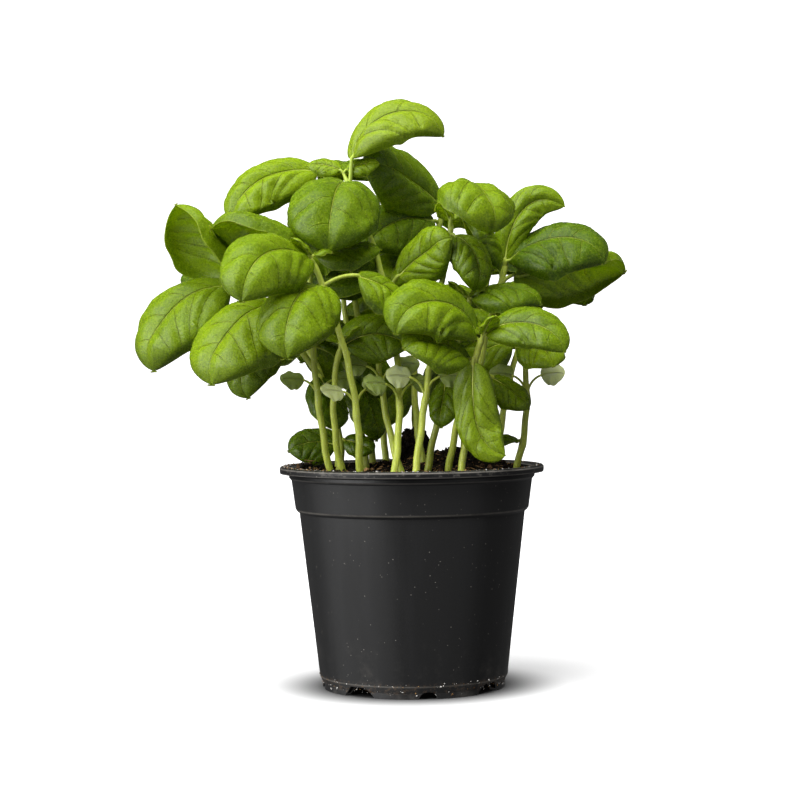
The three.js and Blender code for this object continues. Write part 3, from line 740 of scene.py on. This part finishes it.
def leaf_material(settings):
    """Leaves: waxy and lively green, with paler veins and a fine net between them, painted shade towards the
    margins, and a tone per leaf that is partly painted light and shade.
    """
    shader = Shader("leaf_upper_face")
    side, middle, margin = vein_lines(shader)
    tone, youth = shader.attribute("leaf", "x"), shader.attribute("leaf", "z")
    mottle = shader.noise(1500.0, 3.0, 0.7)
    # Painted light in part: the tone given per leaf also stands in for how much light falls on it.
    blend = (shader.noise(75.0, 4.0, 0.65) * 0.85 + tone * 0.6 + mottle * 0.5).ramp(0.47, 1.47)
    # Painted shade: the blade's colour darkens towards its margins, which curl down away from the light.
    edge = abs(shader.attribute("blade", "x")).ramp(0.6, 0.98, 0.0, 0.4)
    base = shader.mix(blend, settings.deep, settings.bright).tint(edge, settings.deep * 0.8)
    # Painted light in part: a tone over 1.05 lightens the leaf towards a pale yellow green.
    base = base.tint(tone.ramp(1.05, 2.0, 0.0, 0.75), (0.36, 0.43, 0.06))
    net = shader.cells(520.0, "DISTANCE_TO_EDGE").ramp(0.02, 0.16)
    base = base.tint(net.ramp(0.0, 1.0, 1.0, 0.0) * 0.1, settings.vein)
    marks = (side * FACE.side).larger(middle * FACE.middle).larger(margin * FACE.margin)
    base = base.tint(marks, settings.vein)
    base = base.tint(mottle.ramp(0.36, 0.52, 0.42, 0.0), settings.deep * 0.4)
    base = base.tint(mottle.ramp(0.54, 0.68, 0.0, 0.4), settings.vein)
    pale = shader.mix(0.7, settings.vein, (0.62, 0.7, 0.36))
    base = base.tint(youth.ramp(1.5, 1.6), pale)
    normal = shader.bump(side.larger(middle) * -1.0, 0.001)
    normal = shader.bump(net, 0.0001, 0.4, normal)
    normal = shader.bump(shader.noise(2600.0) + mottle * 2.0, 0.0002, 0.6, normal)
    return shader.finish(
        Base_Color=base, Roughness=shader.noise(320.0) * 0.16 + FACE.rough, Normal=normal,
        Subsurface_Weight=0.35, Subsurface_Radius=(0.85, 1.0, 0.1), Subsurface_Scale=0.003,
        Coat_Weight=FACE.coat, Coat_Roughness=0.22, IOR=1.42, Specular_IOR_Level=0.27,
    )


def stem_material(settings):
    """Stems and petioles: smooth, yellow green, with fine lines along them and paler near the soil."""
    shader = Shader("fresh_stem")
    lines = shader.noise(1.0, 3.0, 0.6, (1500.0, 1500.0, 70.0))
    base = shader.mix(lines.ramp(0.35, 0.7), settings.colour, settings.colour * 1.4)
    base = base.tint(shader.noise(60.0).ramp(0.45, 0.75, 0.0, 0.5), settings.colour * 0.55)
    base = base.tint(shader.cells(900.0).ramp(0.1, 0.28, 0.4, 0.0), (0.8, 0.85, 0.55))
    base = base.tint(shader.height().ramp(0.14, 0.23, 0.0, 0.45), (0.2, 0.34, 0.03))
    return shader.finish(
        Base_Color=base, Roughness=0.42, Normal=shader.bump(lines, 0.0002, 0.6), Subsurface_Weight=0.25,
        Subsurface_Radius=(0.8, 1.0, 0.2), Subsurface_Scale=0.0015, Coat_Weight=0.08,
    )


def peat_material(settings):
    """The soil's body: dark, damp and crumbly."""
    shader = Shader("damp_peat")
    coarse = shader.noise(160.0, 6.0, 0.7)
    fine = shader.noise(900.0, 4.0, 0.7)
    base = shader.mix(coarse.ramp(0.42, 0.68), settings.peat, settings.peat * 3.2)
    base = base.tint(fine.ramp(0.66, 0.78, 0.0, 0.55), settings.bark * 0.45)
    normal = shader.bump(fine, 0.0009, 0.9, shader.bump(coarse, 0.002, 0.8))
    return shader.finish(Base_Color=base, Roughness=0.93, Normal=normal, Specular_IOR_Level=0.25)


def crumb_material(settings):
    """Crumbs of peat and bark, each with its own tone from near black to tan, and pale grit."""
    shader = Shader("peat_and_bark_crumbs")
    mottle = shader.noise(1400.0, 3.0, 0.65)
    tone = shader.attribute("crumb", "x") + (mottle - 0.5) * 0.5
    base = shader.mix(tone.ramp(0.15, 0.62), settings.peat, (0.06, 0.03, 0.014))
    base = base.tint(tone.ramp(0.6, 0.98), settings.bark).tint(tone.ramp(1.5, 1.8), (0.6, 0.58, 0.55))
    normal = shader.bump(mottle, 0.0005, 0.9)
    return shader.finish(Base_Color=base, Roughness=0.88, Normal=normal, Specular_IOR_Level=0.3)


def plastic_material(settings):
    """The pot's plastic: near black and satin, with fine dust, faint streaks and scuffs, painted highlights along
    its rounded edges and painted shade under the lip.
    """
    shader = Shader("satin_black_plastic")
    high = shader.height()
    haze = shader.noise(70.0, 5.0, 0.7)
    streak = shader.noise(1.0, 3.0, 0.5, (140.0, 140.0, 9.0))
    dots = shader.cells(420.0).ramp(0.05, 0.14, 1.0, 0.0) * shader.noise(260.0, 1.0).ramp(0.52, 0.6)
    on_lip = high.ramp(0.0974, 0.0984)
    dusty = high.ramp(0.0, 0.03, 0.55, 0.0).larger(high.ramp(0.0985, 0.1004, 0.0, 0.3))
    rubbed = shader.noise(420.0, 4.0, 0.7).ramp(0.54, 0.64) * on_lip
    film = haze.ramp(0.45, 0.75) * dusty * 0.35 + dots * 0.7 + rubbed * 0.28
    base = shader.mix(streak.ramp(0.4, 0.8, 0.0, 0.5), settings.colour, (0.017, 0.017, 0.018))
    base = base.tint(on_lip * 0.5, (0.002, 0.002, 0.002)).tint(film, settings.dust)
    # Painted highlights: pale lines in the dust's colour along the rounded edges, where the light would catch
    # them.
    for middle, width, strength in PAINTED_EDGE_HIGHLIGHTS:
        line = high.band(middle, 0.3 * width, width, strength) * haze.ramp(0.3, 0.6, 0.4, 1.0)
        base = base.tint(line, settings.dust)
    base = base.tint(high.band(*LIP_SHADE), (0.001, 0.001, 0.001))
    caked = high.band(*SOILED) * shader.noise(600.0, 4.0, 0.7).ramp(0.5, 0.62, 0.0, 0.6)
    base = base.tint(caked, (0.11, 0.075, 0.05))
    scuffs = shader.bump(shader.noise(1.0, 2.0, 0.5, (30.0, 30.0, 2600.0)), 0.00002, 0.4)
    normal = shader.bump(shader.noise(2400.0), 0.00004, 0.6, scuffs)
    rough = streak.ramp(0.3, 0.8, 0.33, 0.42) + film * 0.4
    return shader.finish(Base_Color=base, Roughness=rough, Normal=normal, IOR=1.48)


# The pot


def pot_profile():
    """The wall's outline, as radius and height, from the middle of the floor's underside round to its top."""
    lip = POT_TOP - 3.0
    inner_foot = FOOT - FOOT_WIDTH
    outside = [
        (0.0, FLOOR), (inner_foot - 0.7, FLOOR), (inner_foot, 0.0), (FOOT, 0.0), (FOOT, FOOT_STEP),
        (BODY[1], BODY_Z[1]), (BODY[0], BODY_Z[0]), (COLLAR[1] - 0.7, BODY_Z[0] + 0.9), (COLLAR[1], COLLAR_Z[1]),
        (COLLAR[0], COLLAR_Z[0] - 0.8), (NECK, COLLAR_Z[0] + 0.4), (NECK, lip - 0.7),
        (NECK + 1.2, lip), (RIM - 0.2, lip), (RIM, lip + 0.9), (RIM, POT_TOP - 0.7), (RIM - 0.7, POT_TOP),
    ]
    inside = [
        (COLLAR[0] + 0.8, POT_TOP), (COLLAR[0] - WALL, POT_TOP - 1.0), (COLLAR[1] - WALL, COLLAR_Z[1]),
        (BODY[0] - WALL, BODY_Z[0]), (BODY[1] - WALL, BODY_Z[1]), (FOOT - WALL, WALL),
        (inner_foot + WALL, WALL), (inner_foot, FLOOR + WALL), (0.0, FLOOR + WALL),
    ]
    return outside + inside


def outline_object(outline, fill, turned=np.eye(3), back=0.0):
    """An object with only this outline in x and z, moved towards the viewer and then turned about the axis."""
    flat = added(bpy.ops.mesh.primitive_circle_add, vertices=len(outline), fill_type=fill)
    place(flat.data, np.array([(x, -back, z) for x, z in outline]) @ turned.T)
    return flat


def cutter(outline, angle):
    """A prism with this outline in x and z, pushed out through the foot at an angle."""
    turned = Euler((0, 0, math.radians(angle))).to_matrix()
    tool = outline_object(outline, "NGON", np.array(turned), FOOT - 2 * FOOT_WIDTH)
    out = turned @ Vector((0, -3 * FOOT_WIDTH * MM, 0))
    with edit_mode():
        bpy.ops.mesh.extrude_region_move(TRANSFORM_OT_translate={"value": out})
        face_outwards()
    return tool


def foot_cutters():
    """The wide gaps, the low arches and the drain holes of the pot's foot."""
    n, under = NOTCH, -1.0
    gap = [(-n.wide / 2, under), (n.wide / 2, under), (n.narrow / 2, n.height), (-n.narrow / 2, n.height)]
    curve = [(n.arch * math.cos(a), n.rise * math.sin(a)) for a in np.linspace(0, math.pi, 13)]
    arch = [(-n.arch, under), (n.arch, under), *curve]
    tools = []
    for k in range(n.count):
        turn = n.first + k * 360 / n.count
        tools += [cutter(gap, turn), cutter(arch, turn + 180 / n.count)]
        drill = dict(vertices=DRAIN.sides, radius=DRAIN.radius * MM, depth=4 * MM)
        hole = added(bpy.ops.mesh.primitive_cylinder_add, **drill)
        middle = DRAIN.ring * np.array([math.sin(math.radians(turn)), -math.cos(math.radians(turn)), 0])
        place(hole.data, positions(hole.data) / MM + middle + np.array([0, 0, FLOOR]))
        tools.append(hole)
    return tools


class BASIL_OT_pot(bpy.types.Operator):
    """Spin the pot's wall from its profile and cut its foot"""

    bl_idname = "basil.pot"
    bl_label = "Pot"

    def execute(self, context):
        settings = context.scene.basil_pot
        pot = outline_object(pot_profile(), "NOTHING")
        with edit_mode():
            turn = dict(angle=CIRCLE, center=tuple(AXIS), axis=(0, 0, 1), use_auto_merge=True)
            bpy.ops.mesh.spin(steps=settings.segments, **turn)
            bpy.ops.mesh.select_all(action="SELECT")
            bpy.ops.mesh.remove_doubles(threshold=1e-5)
            face_outwards()
        for tool in foot_cutters():
            apply_modifier(pot, "BOOLEAN", object=tool, operation="DIFFERENCE", solver="EXACT")
            bpy.data.objects.remove(tool)
        sharp = dict(limit_method="ANGLE", angle_limit=math.radians(24), use_clamp_overlap=True)
        apply_modifier(pot, "BEVEL", width=settings.bevel, segments=2, **sharp)
        finished(pot, "nursery_pot", "pot_plastic", 40, plastic_material(settings), "pot")
        return {"FINISHED"}


# The soil


def soil_wall():
    """The soil's side, as radius and height from its brim down to its base."""
    under, over = BODY_Z[0] - 0.7, COLLAR_Z[1] + 0.7
    z = np.array([SOIL_LEVEL - 2, over, under, SOIL_BASE])
    wall = np.interp(z, [*BODY_Z[::-1], COLLAR_Z[1], POT_TOP], [*BODY[::-1], *COLLAR[::-1]]) - WALL - SOIL_GAP
    return wall[0], list(zip(wall[1:], z[1:]))


def clumps(points, size, seed):
    """Random height of a rough surface at each point."""
    move = Vector((seed * 3.1, seed * 7.7, seed * 1.3))
    return np.array([noise.fractal(Vector(p) / size + move, 0.8, 2.1, 4) for p in points])


def clod_surface(directions):
    """Points of the upright lump of peat in these directions, with the two crossing waves of the frame's lump."""
    unit = directions / np.linalg.norm(directions, axis=1)[:, None]
    x, y, z = unit.T
    far = 1 + CLOD.dent * np.sin(4 * x + 3 * z) * np.cos(5 * y - 2 * z)
    grow = far[:, None] * (1 + 0.1 * clumps(unit, 0.3, 2)[:, None])
    middle = np.array([*CLOD.at, SOIL_LEVEL + CLOD.middle])
    return middle + unit * grow * np.array(CLOD.radius)


class BASIL_OT_soil(bpy.types.Operator):
    """Model the soil block and the upright lump of peat on it"""

    bl_idname = "basil.soil"
    bl_label = "Soil"

    def execute(self, context):
        settings = context.scene.basil_soil
        peat = peat_material(settings)
        brim, wall = soil_wall()
        grid = dict(x_subdivisions=ROUGH.grid, y_subdivisions=ROUGH.grid, size=2)
        soil = added(bpy.ops.mesh.primitive_grid_add, **grid)
        square = positions(soil.data)
        reach = np.abs(square[:, :2]).max(axis=1)
        flat = polar(brim * reach, np.arctan2(square[:, 1], square[:, 0]), 0.0)
        rough = ROUGH.high * clumps(flat, ROUGH.size, settings.seed) * np.clip((1 - reach) * 12, 0, 1)
        flat[:, 2] = soil_height(flat[:, 0], flat[:, 1]) + rough
        place(soil.data, flat)
        with edit_mode():
            bpy.ops.mesh.select_all(action="DESELECT")
            bpy.ops.mesh.select_non_manifold()
            for radius, z in wall:
                bpy.ops.mesh.extrude_region_move()
                bpy.ops.object.mode_set(mode="OBJECT")
                points = positions(soil.data) - AXIS
                moved = np.array([v.select for v in soil.data.vertices])
                ring = polar(radius, np.arctan2(points[:, 1], points[:, 0]), z)
                place(soil.data, np.where(moved[:, None], ring, points / MM))
                bpy.ops.object.mode_set(mode="EDIT")
            bpy.ops.mesh.edge_face_add()
            face_outwards()
        finished(soil, "soil_block", "peat", 60, peat, "soil")
        clod = added(bpy.ops.mesh.primitive_ico_sphere_add, subdivisions=6, radius=1)
        place(clod.data, clod_surface(positions(clod.data)))
        finished(clod, "peat_lump", "peat", 60, peat)
        return {"FINISHED"}


def master_crumbs(count, draw):
    """A few rough crumbs of 20 faces, each a dented ball of radius 1."""
    found = []
    for _ in range(count):
        crumb = added(bpy.ops.mesh.primitive_ico_sphere_add, subdivisions=1, radius=1)
        points = positions(crumb.data) * draw.uniform(0.6, 1.25, (len(crumb.data.vertices), 1))
        found.append((points, np.array([list(face.vertices) for face in crumb.data.polygons])))
        bpy.data.objects.remove(crumb)
    return found


def scattered(name, places, sizes, tones, draw, material):
    """One piece of crumbs: each a turned copy of a master, at its place, with its three sizes and its tone."""
    masters = master_crumbs(5, draw)
    points, faces, values, start = [], [], [], 0
    for place_at, size, tone in zip(places, sizes, tones):
        shape, triangles = masters[draw.integers(len(masters))]
        turn = draw.uniform(0, CIRCLE, 3)
        if size[0] > 3 * size[2]:
            turn = (0, draw.uniform(-0.35, 0.35), draw.uniform(0, CIRCLE))
        points.append((shape * size) @ np.array(Euler(turn).to_matrix()).T + place_at)
        faces.append(triangles + start)
        values.append(np.full(len(shape), tone))
        start += len(shape)
    mesh = bpy.data.meshes.new(name)
    mesh.from_pydata(np.concatenate(points) * MM + AXIS, [], np.concatenate(faces).tolist())
    add_vectors(mesh, "crumb", np.concatenate(values))
    finished(linked(name, mesh), name, "peat", 80, material)


def crumb_sizes(draw, count, low, high):
    """Half sizes of crumbs, most of them small."""
    size = low + (high - low) * draw.power(0.55, count) ** 2
    return rows_of(size * draw.uniform(0.8, 1.3, count), size, size * draw.uniform(0.5, 0.9, count))


class BASIL_OT_crumbs(bpy.types.Operator):
    """Scatter crumbs of peat and bark, wood fibres, and grit on the pot"""

    bl_idname = "basil.crumbs"
    bl_label = "Crumbs and grit"

    def execute(self, context):
        settings = context.scene.basil_soil
        draw = np.random.default_rng(settings.seed)
        material = crumb_material(settings)
        ground = self.crumbs(settings.crumbs, draw, material)
        self.fibres(settings.fibres, ground, draw, material)
        self.grit(settings.grit, draw, material)
        return {"FINISHED"}

    def crumbs(self, count, draw, material):
        """Crumbs over the lump, heaped against the rim, and all over the soil. The last two are returned."""
        brim, _ = soil_wall()
        radius = (brim - 0.6) * np.sqrt(draw.uniform(0, 1, count))
        ground = polar(radius, draw.uniform(0, CIRCLE, count), 0.0)
        ground[:, 2] = soil_height(ground[:, 0], ground[:, 1]) + 0.2
        on_clod, heaped = count // 7, count // 16
        directions = draw.normal(size=(on_clod, 3))
        directions[:, 2] = np.abs(directions[:, 2])
        ground[:on_clod] = clod_surface(directions)
        tones = draw.power(1.0, count) ** 3.0
        tones[:on_clod] *= 0.4
        swing = HEAP.turn + draw.normal(0, HEAP.spread, heaped)
        far = HEAP.radius - np.abs(draw.normal(0, HEAP.wide, heaped))
        over = draw.uniform(0, 1, heaped) * HEAP.height * np.exp(-(((swing - HEAP.turn) / HEAP.spread) ** 2))
        ground[on_clod : on_clod + heaped] = polar(far, swing, SOIL_LEVEL + over)
        scattered("peat_crumbs", ground, crumb_sizes(draw, count, 0.35, 1.8), tones, draw, material)
        return ground[on_clod:]

    def fibres(self, count, ground, draw, material):
        """Fine fibres of wood that lie on some of the crumbs."""
        lifted = ground[draw.integers(0, len(ground), count)] + np.array([0, 0, 0.7])
        long = draw.uniform(1.6, 4.5, count)
        thin = draw.uniform(0.12, 0.3, count)
        tones = draw.uniform(0.55, 1.0, count)
        lifted[:, :2] *= (1 - 4.0 / np.maximum(np.hypot(lifted[:, 0], lifted[:, 1]), 8.0))[:, None]
        scattered("wood_fibres", lifted, rows_of(long, thin, thin), tones, draw, material)

    def grit(self, count, draw, material):
        """Specks of dirt that cling to the pot's lip and to the step over its foot."""
        on_lip = count // 2
        angle = draw.uniform(0, CIRCLE, count)
        angle[: on_lip // 2] = math.pi + draw.normal(0.25, 0.35, on_lip // 2)
        high = draw.uniform(COLLAR[0] + 1.0, RIM - 1.2, on_lip)
        low = np.clip(draw.normal(4.3, 1.2, count - on_lip), 1.6, 8.0)
        taper = (BODY[0] - BODY[1]) / (BODY_Z[0] - BODY_Z[1])
        on_wall = BODY[1] + taper * (low - BODY_Z[1])
        on_step = FOOT + 0.25 * np.maximum(low - FOOT_STEP, 0)
        radius = np.concatenate([high, np.where(low > BODY_Z[1], on_wall, on_step)])
        places = polar(radius, angle, np.concatenate([np.full(on_lip, POT_TOP), low]))
        sizes = crumb_sizes(draw, count, 0.13, 0.6)
        tones = np.where(draw.uniform(0, 1, count) < 0.4, 2.2, draw.power(2.0, count))
        scattered("pot_grit", places, sizes, tones, draw, material)


# The stems


def rod_piece(runs):
    """A mesh of round rods, each run given by its points in mm and its radius at each, in metres."""
    rods = added(bpy.ops.curve.primitive_bezier_curve_add)
    curve = rods.data
    curve.splines.clear()
    curve.dimensions = "3D"
    curve.bevel_depth = ROD
    curve.bevel_resolution = 3
    curve.use_fill_caps = True
    for points, radii in runs:
        spline = curve.splines.new("POLY")
        spline.points.add(len(points) - 1)
        placed = points * MM + AXIS
        spline.points.foreach_set("co", np.column_stack([placed, np.ones(len(placed))]).ravel())
        spline.points.foreach_set("radius", np.asarray(radii) / ROD)
        spline.use_smooth = True
    pick(rods)
    bpy.ops.object.convert(target="MESH")
    return rods


def stem_run(stem, settings):
    """A stem's middle line and radii: thicker at its foot, swollen a little where leaves leave it."""
    foot = soil_height(*np.array(stem.foot, float)) - SOIL_LEVEL
    top = stem.crown[2]
    heights = np.linspace(foot - BURIED / 2, top + 0.6, KNOTS.stem)
    joints = [numbers[0] for numbers, _ in stem.rows] + list((stem.seed or ())[:1])
    reach = JOINT.reach
    heights = np.sort(np.concatenate([heights, *[[joint - reach, joint, joint + reach] for joint in joints]]))
    heights = heights[np.concatenate([[True], np.diff(heights) > 0.5])]
    radii = settings.foot_radius + (settings.crown_radius - settings.foot_radius) * np.clip(heights / top, 0, 1)
    for joint in joints:
        radii = radii * (1 + JOINT.swell * np.exp(-(((heights - joint) / reach) ** 2)))
    radii[-1] *= 0.35
    points = np.array([stem_point(stem, height) for height in heights])
    points[:, 0] += 0.25 * np.sin(heights * 0.35 + stem.foot[0])
    return points, radii


def petiole_run(leaf, settings, blade):
    """A petiole's middle line and radii, and on along the underside of the blade as its midrib."""
    thick = settings.petiole_radius * STALK[leaf.kind]
    u = np.linspace(0, 1, KNOTS.petiole)
    s = np.linspace(0.03, RIB_REACH, KNOTS.rib)
    rib_radii = thick * (1 - 0.8 * s / RIB_REACH)
    middle = relief(leaf, s, np.zeros(len(s)), blade) * SWELL[leaf.kind]
    under = blade_points(leaf, s, np.zeros(len(s)), middle - blade.thickness / MM - 0.2 * rib_radii / MM)
    stalk_radii = thick * (1.25 - 0.25 * np.sqrt(u))
    return np.concatenate([petiole_points(leaf, u), under]), np.concatenate([stalk_radii, rib_radii])


class BASIL_OT_stems(bpy.types.Operator):
    """Model every stem with its petioles and midribs"""

    bl_idname = "basil.stems"
    bl_label = "Stems"

    def execute(self, context):
        settings = context.scene.basil_stem
        material = stem_material(settings)
        for stem in STEMS:
            runs = [stem_run(stem, settings)]
            runs += [petiole_run(leaf, settings, context.scene.basil_leaf) for leaf in PLANT[stem.name]]
            finished(rod_piece(runs), stem.name + "_stalk", "leaf", 50, material, stem.name)
        return {"FINISHED"}


# The leaves


def relief(leaf, s, t, settings):
    """Height of the blade's upper face over its plain form: swollen between the veins, creased along them."""
    side = np.abs(t)
    lean = VEIN.lean * side**VEIN.arch
    phase = ((s - lean) / (1 - lean) - leaf.start - leaf.skew * np.sign(t)) * leaf.pairs
    swell = np.where(phase > 0, np.abs(np.sin(math.pi * phase)) ** 0.5, 1 - np.exp(4 * np.minimum(phase, 0)))
    swell = 1 - (1 - swell) * (1 - step_up(0.72, 0.88, s))
    across = step_up(0.0, 0.3, side) * (1 - 0.75 * step_up(0.7, 1.0, side))
    along = np.sin(math.pi * np.clip(s, 0, 1)) ** 0.45
    slim = min(1, leaf.width / BLADE.width)
    height = settings.puff * slim * leaf.length * swell * across * along
    from_rib = side * half_width(leaf, s)
    sharp, broad = VEIN.groove
    fade = np.sin(math.pi * np.clip(0.08 + 0.92 * s, 0, 1)) ** 0.4 * (1 - step_up(0.6, 0.92, s))
    height -= (0.5 * np.exp(-((from_rib / sharp) ** 2)) + 0.8 * np.exp(-((from_rib / broad) ** 2))) * fade
    tip = np.maximum(s - TIP.start, 0) / (1 - TIP.start)
    height -= leaf.length * (0.035 * step_up(0.76, 1.0, side) * along + TIP.drop * slim**2 * tip**2)
    shift = leaf.draw * 1.7
    roll = np.sin(5.1 * s + shift) * np.cos(3.3 * t - 0.7 * shift) + 0.6 * np.sin(9.0 * s - 4.0 * t + shift)
    places = rows_of(s * leaf.length, t * half_width(leaf, s), 5.0 * leaf.draw)
    crinkle = CRINKLE.high * clumps(places, CRINKLE.size, leaf.draw) * step_up(0.0, 0.25, side)
    return height + leaf.length * (0.013 * roll + crinkle) * np.sin(math.pi * s)


def blade_copy(master, leaf, settings):
    """A copy of a flat blade, shaped as this leaf and marked for its material."""
    piece = linked(master.name, master.data.copy())
    grid = positions(piece.data)
    t = np.clip(grid[:, 0], -1, 1)
    t = np.sign(t) * np.abs(t) ** 1.25
    s = (1 - np.cos(math.pi * (np.clip(grid[:, 1], -1, 1) + 1) / 2)) / 2
    raised = relief(leaf, s, t, settings) * SWELL[leaf.kind]
    place(piece.data, blade_points(leaf, s, t, raised))
    add_vectors(piece.data, "blade", t, s, half_width(leaf, s))
    add_vectors(piece.data, "leaf", leaf.tone, leaf.length, leaf.youth)
    add_vectors(piece.data, "vein", leaf.pairs, leaf.start + leaf.skew * np.sign(t))
    return piece


def flat_blade(rows, columns):
    """A flat grid from which blades are copied: x across, y along."""
    return added(bpy.ops.mesh.primitive_grid_add, x_subdivisions=columns, y_subdivisions=rows, size=2)


class BASIL_OT_leaves(bpy.types.Operator):
    """Model every leaf and join those of each stem"""

    bl_idname = "basil.leaves"
    bl_label = "Leaves"

    def execute(self, context):
        settings = context.scene.basil_leaf
        grown = flat_blade(settings.rows, settings.columns)
        small = flat_blade(settings.rows // 2, settings.columns // 2)
        material = leaf_material(settings)
        for node, leaves in PLANT.items():
            masters = [grown if leaf.kind == "grown" else small for leaf in leaves]
            pick(*[blade_copy(master, leaf, settings) for master, leaf in zip(masters, leaves)])
            bpy.ops.object.join()
            piece = context.object
            with edit_mode():
                bpy.ops.mesh.remove_doubles(threshold=2e-6)
            apply_modifier(piece, "SOLIDIFY", thickness=settings.thickness, offset=-1, use_rim=True)
            finished(piece, node + "_leaves", "leaf", 55, material, node)
        bpy.data.objects.remove(grown)
        bpy.data.objects.remove(small)
        return {"FINISHED"}


# The stage


def soft_light(name, size, power, at, aim):
    """A square soft light at a place, aimed at a point, both in mm from the pot's axis."""
    light = bpy.data.lights.new(name, "AREA")
    light.shape = "SQUARE"
    light.size = size
    light.energy = power
    lamp = linked(name, light)
    lamp.location = Vector(np.array(at) * MM + AXIS)
    way = Vector(np.array(aim, float) - np.array(at, float))
    lamp.rotation_euler = way.to_track_quat("-Z", "Y").to_euler()


def floor_material(colour):
    """A pale floor with a painted contact shadow, darkest under the pot."""
    shader = Shader("pale_floor")
    base = shader.mix(shader.noise(40.0), colour, colour * 0.98)
    measure = {0: shader.object_place(), 1: tuple(AXIS)}
    # Painted shadow: the floor's colour fades to black towards the pot's axis.
    near = shader.add("ShaderNodeVectorMath", measure, 1, operation="DISTANCE")
    base = shader.mix(near.ramp(*STUDIO.shade), (0.0, 0.0, 0.0), base)
    return shader.finish(Base_Color=base, Roughness=0.75)


def stage_piece(piece, name, material, *unseen_by):
    """Names a piece of the stage and gives it its material; some kinds of rays pass by it."""
    piece.name = name
    piece.data.materials.append(material)
    for ray in unseen_by:
        setattr(piece, "visible_" + ray, False)


class BASIL_OT_stage(bpy.types.Operator):
    """Set up the pale floor, the soft lights and the camera"""

    bl_idname = "basil.stage"
    bl_label = "Stage"

    def execute(self, context):
        settings = context.scene.basil_stage
        self.surroundings(settings)
        self.lights(settings)
        self.camera(settings)
        context.scene.view_settings.view_transform = "Standard"
        return {"FINISHED"}

    def surroundings(self, settings):
        """The floor, the lit backdrop and the light from all round."""
        round_edge = dict(vertices=STUDIO.sides, radius=STUDIO.radius)
        floor = added(bpy.ops.mesh.primitive_circle_add, fill_type="NGON", **round_edge)
        stage_piece(floor, "floor", floor_material(settings.floor), "glossy", "diffuse", "shadow")
        tube = dict(depth=2 * STUDIO.radius, end_fill_type="NOTHING")
        backdrop = added(bpy.ops.mesh.primitive_cylinder_add, **round_edge, **tube)
        lit = dict(Base_Color=(0.9, 0.9, 0.9), Emission_Color=(1.0, 1.0, 1.0), Emission_Strength=1.0)
        glow = Shader("lit_backdrop").finish(**lit)
        rays = ("diffuse", "glossy", "transmission", "volume_scatter", "shadow")
        stage_piece(backdrop, "backdrop", glow, *rays)
        world = bpy.data.worlds.new("studio")
        world.use_nodes = True
        background = world.node_tree.nodes["Background"]
        background.inputs["Color"].default_value = (1, 1, 1, 1)
        background.inputs["Strength"].default_value = settings.ambient
        bpy.context.scene.world = world

    def lights(self, settings):
        """The wide soft light overhead and the square ones round the plant."""
        sun = bpy.data.lights.new("top_light", "SUN")
        sun.angle = math.radians(STUDIO.spread)
        sun.energy = settings.top
        overhead = linked("top_light", sun)
        overhead.visible_glossy = False
        overhead.rotation_euler = Vector(STUDIO.top).to_track_quat("Z", "Y").to_euler()
        for name, size, share, at, aim in LIGHTS:
            soft_light(name, size, settings.key * share, at, aim)

    def camera(self, settings):
        """The camera, which looks slightly down and is rolled a little."""
        lens = bpy.data.cameras.new("camera")
        lens.lens = settings.lens
        lens.sensor_width = CAMERA.sensor
        camera = linked("camera", lens)
        camera.location = Vector(np.array([CAMERA.right, -CAMERA.back, CAMERA.high]) * MM + AXIS)
        pitch = Euler((math.radians(90 + CAMERA.pitch), 0, 0)).to_matrix()
        roll = Euler((0, 0, math.radians(-CAMERA.roll))).to_matrix()
        camera.rotation_euler = (pitch @ roll).to_euler()
        bpy.context.scene.camera = camera


class BASIL_PT_panel(bpy.types.Panel):
    bl_idname = "BASIL_PT_panel"
    bl_label = "Potted basil plant"
    bl_space_type = "VIEW_3D"
    bl_region_type = "UI"
    bl_category = "Basil"

    def draw(self, context):
        for group, _, *operators in SECTIONS:
            box = self.layout.box()
            for operator in operators:
                box.operator(operator.bl_idname)
            settings = getattr(context.scene, group)
            for name in settings.bl_rna.properties.keys():
                if name not in ("rna_type", "name"):
                    box.prop(settings, name)


# The panel's sections: the name that the settings have on a scene, their class, and the operators.
SECTIONS = (
    ("basil_stage", BasilStageSettings, BASIL_OT_stage),
    ("basil_pot", BasilPotSettings, BASIL_OT_pot),
    ("basil_soil", BasilSoilSettings, BASIL_OT_soil, BASIL_OT_crumbs),
    ("basil_stem", BasilStemSettings, BASIL_OT_stems),
    ("basil_leaf", BasilLeafSettings, BASIL_OT_leaves),
)
CLASSES = [cls for _, *classes in SECTIONS for cls in classes] + [BASIL_PT_panel]
PLANT = {stem.name: leaves_of(stem) for stem in STEMS}


def register():
    for cls in CLASSES:
        bpy.utils.register_class(cls)
    for group, settings, *_ in SECTIONS:
        setattr(bpy.types.Scene, group, PointerProperty(type=settings))


def unregister():
    for group, *_ in SECTIONS:
        delattr(bpy.types.Scene, group)
    for cls in reversed(CLASSES):
        bpy.utils.unregister_class(cls)


def main():
    register()
    bpy.ops.basil.stage()
    bpy.ops.basil.pot()
    bpy.ops.basil.soil()
    bpy.ops.basil.crumbs()
    bpy.ops.basil.stems()
    bpy.ops.basil.leaves()


if __name__ == "__main__":
    main()
